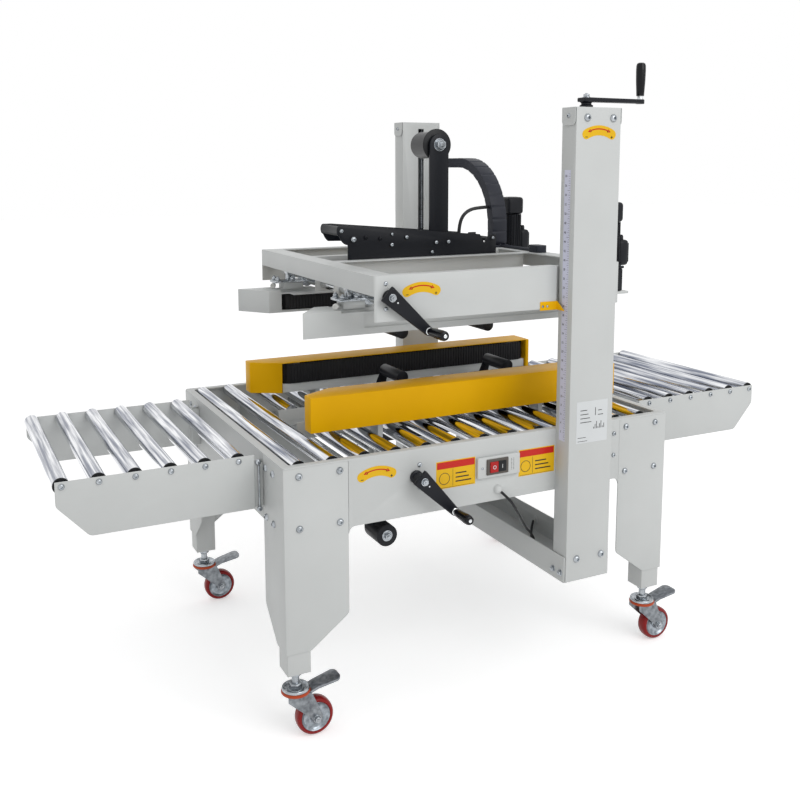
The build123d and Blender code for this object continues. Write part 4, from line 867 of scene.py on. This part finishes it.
def banded(material, direction, pitch, depth):
    """Even ribs or thread turns across a direction, added as relief."""
    tree = material.node_tree
    bands = tree.nodes.new("ShaderNodeTexWave")
    bands.bands_direction = direction
    pitch_at_scale_one = math.tau / 20
    bands.inputs["Scale"].default_value = pitch_at_scale_one / pitch
    tree.links.new(object_coordinates(material, (1, 1, 1)), bands.inputs["Vector"])
    relief = add_node(material, "ShaderNodeBump", Strength=1.0, Distance=depth)
    tree.links.new(bands.outputs["Fac"], relief.inputs["Height"])
    tree.links.new(relief.outputs["Normal"], tree.nodes["Principled BSDF"].inputs["Normal"])


banded(belt_rubber, "X", 0.008, 0.0016)
for node in ("near_drive_belt", "far_drive_belt", "near_upper_belt", "far_upper_belt"):
    dress(node, belt_rubber)

# Tape heads
# Laser cut steel plates, black coated, with rubber wiping rollers on sprung arms and a tape drum on top.
for node in ("reel_arm", "lower_tape_head"):
    dress(node, black_coat)
dress("tape_core", nylon_black, edge=0.001)
cartridge = dress("tape_cartridge", black_coat)
tip_start, tip_share = -0.196, 0.54
rear_plate_y, rear_tip_start, rear_tip_top, rear_tip_back = 0.03, -0.15, 0.984, 0.056
for corner in cartridge.data.vertices:
    if corner.co.x < tip_start:
        corner.co.x = tip_start + tip_share * (corner.co.x - tip_start)
    if corner.co.y > rear_plate_y and corner.co.x < rear_tip_start and corner.co.z < rear_tip_top:
        corner.co.x += rear_tip_back
cartridge_bolts = {
    0.0050: [(-0.2130, 1.0140), (-0.0843, 0.9781), (-0.0453, 0.9947), (0.0348, 0.9793), (0.0684, 0.9796)],
    0.0074: [(-0.1831, 0.9937)],
    0.0038: [(-0.0837, 1.0031), (0.1950, 0.9850)],
    0.0045: [(0.0236, 0.9567)],
}
cartridge_y = -0.053
for radius, points in cartridge_bolts.items():
    name = f"cartridge_bolts_{round(10000 * radius)}"
    bolt = button_screw("cartridge_bolt", radius, zinc_plate)
    set_out(name, bolt, to_operator(cartridge_y, points), "head")
dark_places = to_operator(cartridge_y, [(-0.1514, 0.9971), (-0.1143, 0.9932)])
dark_bolt = button_screw("dark_bolt", 0.0048, black_coat)
set_out("cartridge_dark_bolts", dark_bolt, dark_places, "head")
reel_nut = hexagon_bolt("reel_nut", 0.0215, 0.010, zinc_plate, 0.006)
set_out("reel_nuts", reel_nut, to_operator(-0.047, [(0.046, 1.212)]), "head")
rivet_places = to_operator(-0.3812, [(0.118, 0.860), (0.130, 0.860)])
pointer_rivet = button_screw("pointer_rivet", 0.0030, zinc_plate)
set_out("pointer_rivets", pointer_rivet, rivet_places, "head")
fascia_places = to_operator(-fascia_y, [(-0.258, 0.931), (-0.258, 0.880)])
fascia_screw = button_screw("fascia_screw", 0.0048, zinc_plate)
set_out("fascia_screws", fascia_screw, fascia_places, "head")

# Housings of the upper belt units
# Folded and welded sheet, coated pale; the nose is cut away towards the carton, and zinc plated clamps
# hold the unit on the head's rods, each with a pillow block and, on the left, the nut of the width screw.


def cut_away(piece, point, normal):
    """Cuts a piece by a plane, drops what lies on the normal's side and closes the cut."""
    pick(piece)
    bpy.ops.object.mode_set(mode="EDIT")
    bpy.ops.mesh.select_all(action="SELECT")
    bpy.ops.mesh.bisect(plane_co=point, plane_no=normal, use_fill=True, clear_outer=True)
    bpy.ops.object.mode_set(mode="OBJECT")


def sleeve(name, bore, radius, length, steps):
    """A turned sleeve standing on z = 0, with its outer edges chamfered."""
    chamfer = 0.001
    profile = [
        (bore, 0),
        (radius - chamfer, 0),
        (radius, chamfer),
        (radius, length - chamfer),
        (radius - chamfer, length),
        (bore, length),
        (bore, 0),
    ]
    return spun(name, profile, steps, zinc_plate)


riser_foot, riser_top, clamp_top = 0.857, 0.8745, 0.8800
head_screw_x, head_screw_z = -0.252, 0.904
for unit, side, plate_left, to_rear in (("near", -1, -0.288, 0.025), ("far", 1, -0.302, 0.012)):
    node = f"{unit}_upper_housing"
    unit_body = frame["nodes"][node]["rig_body"]
    unit_y = side * 0.188
    housing = plain_copy(node, pale_coat)
    cut_away(housing, (-0.374, side * 0.222, 0.83), Vector((-0.85, -side * 0.62, 0)).normalized())
    cut_away(housing, (0, 0, 0.8585), (0, 0, 1))
    finish_edges(housing, 0.0012)
    stand_for(housing, node)
    risers = []
    for left, right in ((-0.276, -0.224), (0.229, 0.271)):
        low, high = (left, unit_y - 0.019, riser_foot), (right, unit_y + 0.019, riser_top)
        risers.append(block("riser", low, high, 0.0015, pale_coat))
    weld(f"{unit}_risers", risers, unit_body)
    parts = []
    for left, right, rod_x in ((plate_left, -0.197, -0.213), (0.222, 0.278, 0.250)):
        low, high = (left, unit_y - 0.025, riser_top), (right, unit_y + to_rear, clamp_top)
        parts.append(block("clamp_plate", low, high, 0.0016, zinc_plate, 3))
        pillow = sleeve("pillow_block", 0.0105, 0.0175, to_rear + 0.009, 28)
        parts.append(along(pillow, (rod_x, unit_y - 0.017, clamp_top), (0, 1, 0)))
        for bolt_x in (left + 0.010, (left + right) / 2 - 0.004):
            for bolt_y in (unit_y - 0.0195, unit_y + to_rear - 0.0055):
                bolt = hexagon_bolt("clamp_bolt", 0.010, 0.0055, zinc_plate, tip=0.003)
                parts.append(along(bolt, (bolt_x, bolt_y, clamp_top), (0, 0, 1)))
    low = (head_screw_x - 0.010, unit_y - 0.011, 0.8795)
    high = (head_screw_x + 0.010, unit_y + 0.011, 0.896)
    parts.append(block("nut_web", low, high, 0.0015, zinc_plate))
    nut = sleeve("screw_nut", 0.0075, 0.0135, 0.024, 24)
    parts.append(along(nut, (head_screw_x, unit_y - 0.014, head_screw_z), (0, 1, 0)))
    weld(f"{unit}_clamp", parts, unit_body)

# White knobs on the noses of the upper units
# Moulded knobs with a ring round their face that lock the guide plates, each against its unit's riser.
knob_white = coated("knob_white", (0.70, 0.70, 0.68), (0.66, 0.66, 0.64), 0.3, 0.4, 0.05)
for unit, side, shank in (("near", -1, 0.0180), ("far", 1, 0.0035)):
    knob = spun(
        f"{unit}_nose_knob",
        [(0, 0.0130), (0.0020, 0.0130), (0.0024, 0.0140), (0.0056, 0.0140), (0.0066, 0.0130),
         (0.0066, 0.0080), (0.0056, 0.0070), (0.0040, 0.0066), (0.0040, -shank)],
        24,
        knob_white,
    )
    along(knob, (-0.290, side * 0.202, 0.8655), (-0.55, -0.83, 0))
    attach(knob, frame["nodes"][f"{unit}_upper_housing"]["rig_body"])

# Motors of the upper belt units
# Upright gear motors, cast and painted black: a square gearbox, a ribbed body, a round fan cowl and a
# junction box with its cable gland.
motor_x, gearbox_top, flange_top = 0.424, 0.914, 0.920
for unit, side in (("near", -1), ("far", 1)):
    node = f"{unit}_upper_motor"
    unit_body = frame["nodes"][node]["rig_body"]
    motor_y = side * 0.216
    low, high = (0.3975, motor_y - 0.027, 0.8585), (0.4505, motor_y + 0.027, gearbox_top)
    gearbox = block("gearbox", low, high, 0.004, black_coat, 3)
    low, high = (0.3955, motor_y - 0.0285, gearbox_top), (0.4525, motor_y + 0.0285, flange_top)
    flange = block("flange", low, high, 0.002, black_coat)
    bpy.ops.object.select_all(action="DESELECT")
    middle = (motor_x, motor_y, 0.973)
    bpy.ops.mesh.primitive_cylinder_add(vertices=72, radius=0.0258, depth=0.106, location=middle)
    ribs = bpy.context.object
    bpy.ops.object.transform_apply()
    ribs.data.materials.append(black_coat)
    unselect_mesh()
    sides = [face for face in ribs.data.polygons if abs(face.normal.z) < 0.5]
    sides.sort(key=lambda face: math.atan2(face.normal.y, face.normal.x))
    for number, face in enumerate(sides):
        face.select = number % 3 == 0
    bpy.ops.object.mode_set(mode="EDIT")
    bpy.ops.mesh.extrude_region_shrink_fatten(TRANSFORM_OT_shrink_fatten={"value": 0.0026})
    bpy.ops.object.mode_set(mode="OBJECT")
    low, high = (0.398, motor_y - 0.026, 1.0265), (0.450, motor_y + 0.026, 1.0745)
    cowl = block("cowl", low, high, 0.009, black_coat, 5)
    vent = spun(
        "vent",
        [(0, 1.0748), (0.0060, 1.0748), (0.0066, 1.0738), (0.0090, 1.0738), (0.0096, 1.0748),
         (0.0130, 1.0748), (0.0136, 1.0738), (0.0160, 1.0738), (0.0166, 1.0748), (0.0180, 1.0744),
         (0.0180, 1.0700)],
        32,
        black_coat,
    )
    vent.data.transform(Matrix.Translation((motor_x, motor_y, 0)))
    low, high = (0.448, motor_y - 0.014, 0.919), (0.4785, motor_y + 0.014, 0.982)
    box = block("box", low, high, 0.0085, black_coat, 3)
    low, high = (0.4770, motor_y - 0.010, 0.927), (0.4800, motor_y + 0.010, 0.974)
    lid = block("lid", low, high, 0.001, black_coat)
    gland_profile = [(0.0040, 0.012), (0.0050, 0.011), (0.0062, 0.007), (0.0062, -0.004)]
    gland = along(spun("gland", gland_profile, 20, black_coat), (0.462, motor_y, 0.982), (0, 0, 1))
    parts = [gearbox, flange, ribs, cowl, vent, box, lid, gland]
    motor = weld(f"{unit}_gear_motor", parts, unit_body)
    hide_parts(node)
    corners = [(0.401, -0.023), (0.401, 0.023), (0.447, -0.023), (0.447, 0.023)]
    set_out(
        f"{unit}_flange_screws",
        button_screw("flange_screw", 0.0035, zinc_plate),
        [((x, motor_y + y, flange_top), (0, 0, 1)) for x, y in corners],
        unit_body,
    )

# Cranks, lift screws and carriages
# Cast iron arms, black coated, with a turning plastic grip; the screws are rolled and zinc plated.
gloss_black = coated("gloss_black", (0.0045, 0.0050, 0.0070), (0.0030, 0.0035, 0.0050), 0.16, 0.26, 0.05)


def crank(node, arm, place, face, grip_end, half_width, screw_radius, screw_end):
    """A cast arm on a hub with its bolt, a chromed collar and a turning grip with its rivet.

    The place has X along the arm and Z outwards from the hub; face, grip_end and screw_end are on Z.
    """
    base = 0.0006
    plate = block("arm", (-0.014, -half_width, face - 0.009), (arm, half_width, face), 0, black_coat)
    unselect_mesh()
    for corner in plate.data.vertices:
        corner.select = corner.co.x > 0.02
    bpy.ops.object.mode_set(mode="EDIT")
    bpy.ops.transform.resize(value=(1, 0.0095 / half_width, 1))
    bpy.ops.object.mode_set(mode="OBJECT")
    finish_edges(plate, 0.0022, 3)
    boss = spun(
        "boss",
        [(0, base), (0.0130, base), (0.0142, base + 0.001), (0.0142, base + 0.004),
         (0.0108, base + 0.006), (0.0108, face - 0.012), (0.0140, face - 0.009), (0.0140, face - 0.006)],
        32,
        black_coat,
    )
    tip = spun(
        "tip",
        [(0, face - 0.0095), (0.0085, face - 0.0095), (0.0095, face - 0.0085), (0.0095, face - 0.001),
         (0.0085, face), (0, face)],
        28,
        black_coat,
    )
    collar = spun(
        "collar",
        [(0.0078, face - 0.001), (0.0078, face + 0.001), (0.0066, face + 0.002), (0.0062, face + 0.0045),
         (0.0072, face + 0.0060), (0.0072, face + 0.0075)],
        28,
        rod_chrome,
    )
    root, end = face + 0.0072, grip_end
    grip = spun(
        "grip",
        [(0.0030, root), (0.0078, root), (0.0084, root + 0.001), (0.0090, root + 0.012),
         (0.0102, root + 0.034), (0.0106, end - 0.016), (0.0102, end - 0.006), (0.0088, end - 0.0018),
         (0.0062, end), (0.0040, end), (0.0040, end - 0.001)],
        32,
        gloss_black,
    )
    rivet = spun(
        "rivet",
        [(0.0044, end - 0.0015), (0.0038, end - 0.0002), (0.0020, end + 0.0005), (0, end + 0.0006)],
        20,
        rod_chrome,
    )
    for piece in (tip, collar, grip, rivet):
        piece.data.transform(Matrix.Translation((arm, 0, 0)))
    bolt = hexagon_bolt("hub_bolt", 0.0115, 0.005, zinc_plate, 0.002)
    bolt.data.transform(Matrix.Translation((0, 0, face)))
    mark = spun("mark", [(0.0019, -0.0002), (0.0017, 0.0006), (0, 0.0008)], 12, rod_chrome)
    mark.data.transform(Matrix.Translation((0.0155, 0, face)))
    screw_profile = [(0, base), (screw_radius, base), (screw_radius, screw_end), (0, screw_end)]
    screw = spun("screw", screw_profile, 24, zinc_plate)
    parts = [plate, boss, tip, collar, grip, rivet, bolt, mark, screw]
    whole = weld(node + "_finished", parts, frame["nodes"][node]["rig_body"])
    whole.data.transform(place)
    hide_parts(node)


def crank_place(x, y, z, along_arm, outwards):
    """Place of a crank whose hub is at a point, from the directions of its arm and its hub."""
    across = Vector(outwards).cross(Vector(along_arm)).normalized()
    axes = (Vector(along_arm).normalized(), across, Vector(outwards).normalized())
    return Matrix([[*(axis[row] for axis in axes), (x, y, z)[row]] for row in range(3)] + [[0, 0, 0, 1]])


bed_slope = math.radians(-46)
bed_arm = (math.cos(bed_slope), 0, math.sin(bed_slope))
bed_place = crank_place(-0.190, -panel_y, 0.524, bed_arm, (0, -1, 0))
crank("bed_crank", 0.104, bed_place, 0.040, 0.1015, 0.0185, 0.008, -0.7527)
head_slope = math.radians(-41.5)
head_arm = (math.cos(head_slope), 0, math.sin(head_slope))
head_place = crank_place(head_screw_x, -fascia_y, head_screw_z, head_arm, (0, -1, 0))
crank("head_crank", 0.110, head_place, 0.0185, 0.0860, 0.0185, 0.007, -0.6877)
lift_place = crank_place(0.2045, -0.4025, 1.284, (1, 0, 0), (0, 0, 1))
crank("lift_crank", 0.145, lift_place, 0.021, 0.0993, 0.0140, 0.008, -1.0407)
thread_zinc = bright_metal("thread_zinc", (0.46, 0.49, 0.52), (0.27, 0.29, 0.31), 0.3, 60.0)
banded(thread_zinc, "Z", 0.005, 0.0012)
dress("rear_lift_screw", thread_zinc, edge=0)
dress("head_carriages", zinc_plate)

# Switch box
# A folded steel box on the front panel, with a rocker switch in two colours snapped into its lid and a
# column of bars printed beside it; one screw holds the lid.
dress("switch_box", pale_coat, edge=0.0015)
switch_frame_coat = coated("switch_frame", (0.105, 0.092, 0.082), (0.085, 0.074, 0.066), 0.3, 0.4, 0.04)
rocker_red = coated("rocker_red", (0.42, 0.012, 0.012), (0.36, 0.010, 0.010), 0.2, 0.3, 0.02)
red_y, black_y, rocker_root = -0.3925, -0.3915, -0.3890
rocker_low, rocker_split, rocker_high = 0.5090, 0.0040, 0.5330
low, high = (-0.0235, -0.3895, 0.5035), (0.0315, -0.3855, 0.5385)
switch_frame = block("switch_frame", low, high, 0.0025, switch_frame_coat, 3)
low, high = (-0.0165, red_y, rocker_low), (rocker_split, rocker_root, rocker_high)
red_half = block("red_half", low, high, 0.0016, rocker_red, 3)
low, high = (rocker_split, black_y, rocker_low), (0.0245, rocker_root, rocker_high)
black_half = block("black_half", low, high, 0.0012, nylon_black, 3)
weld("rocker_switch", [switch_frame, red_half, black_half], "base")
switch_place = front_face(0, red_y, (rocker_low + rocker_high) / 2)
off_ring = ring_outlines(-0.0062, 0, (0.0042, 0.0030), 24)
film("switch_off_mark", off_ring, 0, print_depth, film_white, switch_place, "base")
on_bar = [rectangle(0.0136, -0.0042, 0.0148, 0.0042)]
on_sink = red_y - black_y
film("switch_on_mark", on_bar, on_sink, print_depth, film_white, switch_place, "base")
side_bars = []
for step in range(9):
    low = -0.0130 + 0.0030 * step
    side_bars.append(rectangle(0.0400, low, 0.0412 + 0.0006 * (step % 2), low + 0.0012))
    side_bars.append(rectangle(0.0455, low, 0.0470, low + 0.0012))
lid_sink = -0.0065
film("switch_side_bars", side_bars, lid_sink, print_depth, film_black, switch_place, "base")
lid_screw = button_screw("switch_lid_screw", 0.0028, zinc_plate)
set_out("switch_lid_screws", lid_screw, to_operator(-0.386, [(-0.033, 0.520)]), "base")

# Cable chain
# Moulded nylon links, each pinned to the next, that fold over as the head goes up and down.
chain_nylon = coated("chain_nylon", (0.026, 0.029, 0.040), (0.019, 0.021, 0.030), 0.40, 0.52, 0.06)
dress("cable_chain", chain_nylon)

# Floor and light
# A plain pale floor that keeps the object's shadow, a white surround and one large soft lamp.


def any_ray(tree, *kinds):
    """One where a ray is of any of these kinds, and zero elsewhere."""
    path = tree.nodes.new("ShaderNodeLightPath")
    found = path.outputs[kinds[0]]
    for kind in kinds[1:]:
        either = tree.nodes.new("ShaderNodeMath")
        either.operation = "MAXIMUM"
        tree.links.new(found, either.inputs[0])
        tree.links.new(path.outputs[kind], either.inputs[1])
        found = either.outputs["Value"]
    return found


bpy.ops.object.select_all(action="DESELECT")
bpy.ops.mesh.primitive_plane_add(size=40, location=(0, 0, -0.0005))
floor = bpy.context.object
floor.name = "studio_floor"
floor_paint, floor_shader = shader_material("floor_paint", 0.0, 0.9)
floor_shader.inputs["Base Color"].default_value = (0.86, 0.86, 0.86, 1)
floor_tree = floor_paint.node_tree
floor_glow = floor_tree.nodes.new("ShaderNodeEmission")
glow_level = floor_tree.nodes.new("ShaderNodeMath")
glow_level.operation = "MULTIPLY"
glow_level.inputs[1].default_value = 0.42
floor_tree.links.new(any_ray(floor_tree, "Is Camera Ray", "Is Glossy Ray"), glow_level.inputs[0])
floor_tree.links.new(glow_level.outputs["Value"], floor_glow.inputs["Strength"])
floor_sum = floor_tree.nodes.new("ShaderNodeAddShader")
floor_tree.links.new(floor_shader.outputs["BSDF"], floor_sum.inputs[0])
floor_tree.links.new(floor_glow.outputs["Emission"], floor_sum.inputs[1])
floor_tree.links.new(floor_sum.outputs["Shader"], floor_tree.nodes["Material Output"].inputs["Surface"])
floor.data.materials.append(floor_paint)
floor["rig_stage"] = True

world = bpy.data.worlds.new("studio_world")
bpy.context.scene.world = world
world.use_nodes = True
world_tree = world.node_tree
soft_sky = world_tree.nodes["Background"]
soft_sky.inputs["Color"].default_value = (1, 1, 1, 1)
soft_sky.inputs["Strength"].default_value = 0.74
white_surround = world_tree.nodes.new("ShaderNodeBackground")
white_surround.inputs["Color"].default_value = (1, 1, 1, 1)
white_surround.inputs["Strength"].default_value = 1.0
surround = world_tree.nodes.new("ShaderNodeMixShader")
seen_white = any_ray(world_tree, "Is Camera Ray", "Is Transmission Ray", "Is Glossy Ray")
world_tree.links.new(seen_white, surround.inputs["Fac"])
world_tree.links.new(soft_sky.outputs["Background"], surround.inputs[1])
world_tree.links.new(white_surround.outputs["Background"], surround.inputs[2])
world_tree.links.new(surround.outputs["Shader"], world_tree.nodes["World Output"].inputs["Surface"])

bpy.ops.object.light_add(type="AREA", location=(0.9, -3.6, 3.0))
key_light = bpy.context.object
key_light.name = "key_light"
key_light.data.size = 2.8
key_light.data.energy = 62
key_light.rotation_euler = (Vector((0, 0, 0.6)) - key_light.location).to_track_quat("-Z", "Y").to_euler()
bpy.context.scene.view_settings.view_transform = "Standard"

low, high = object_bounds()
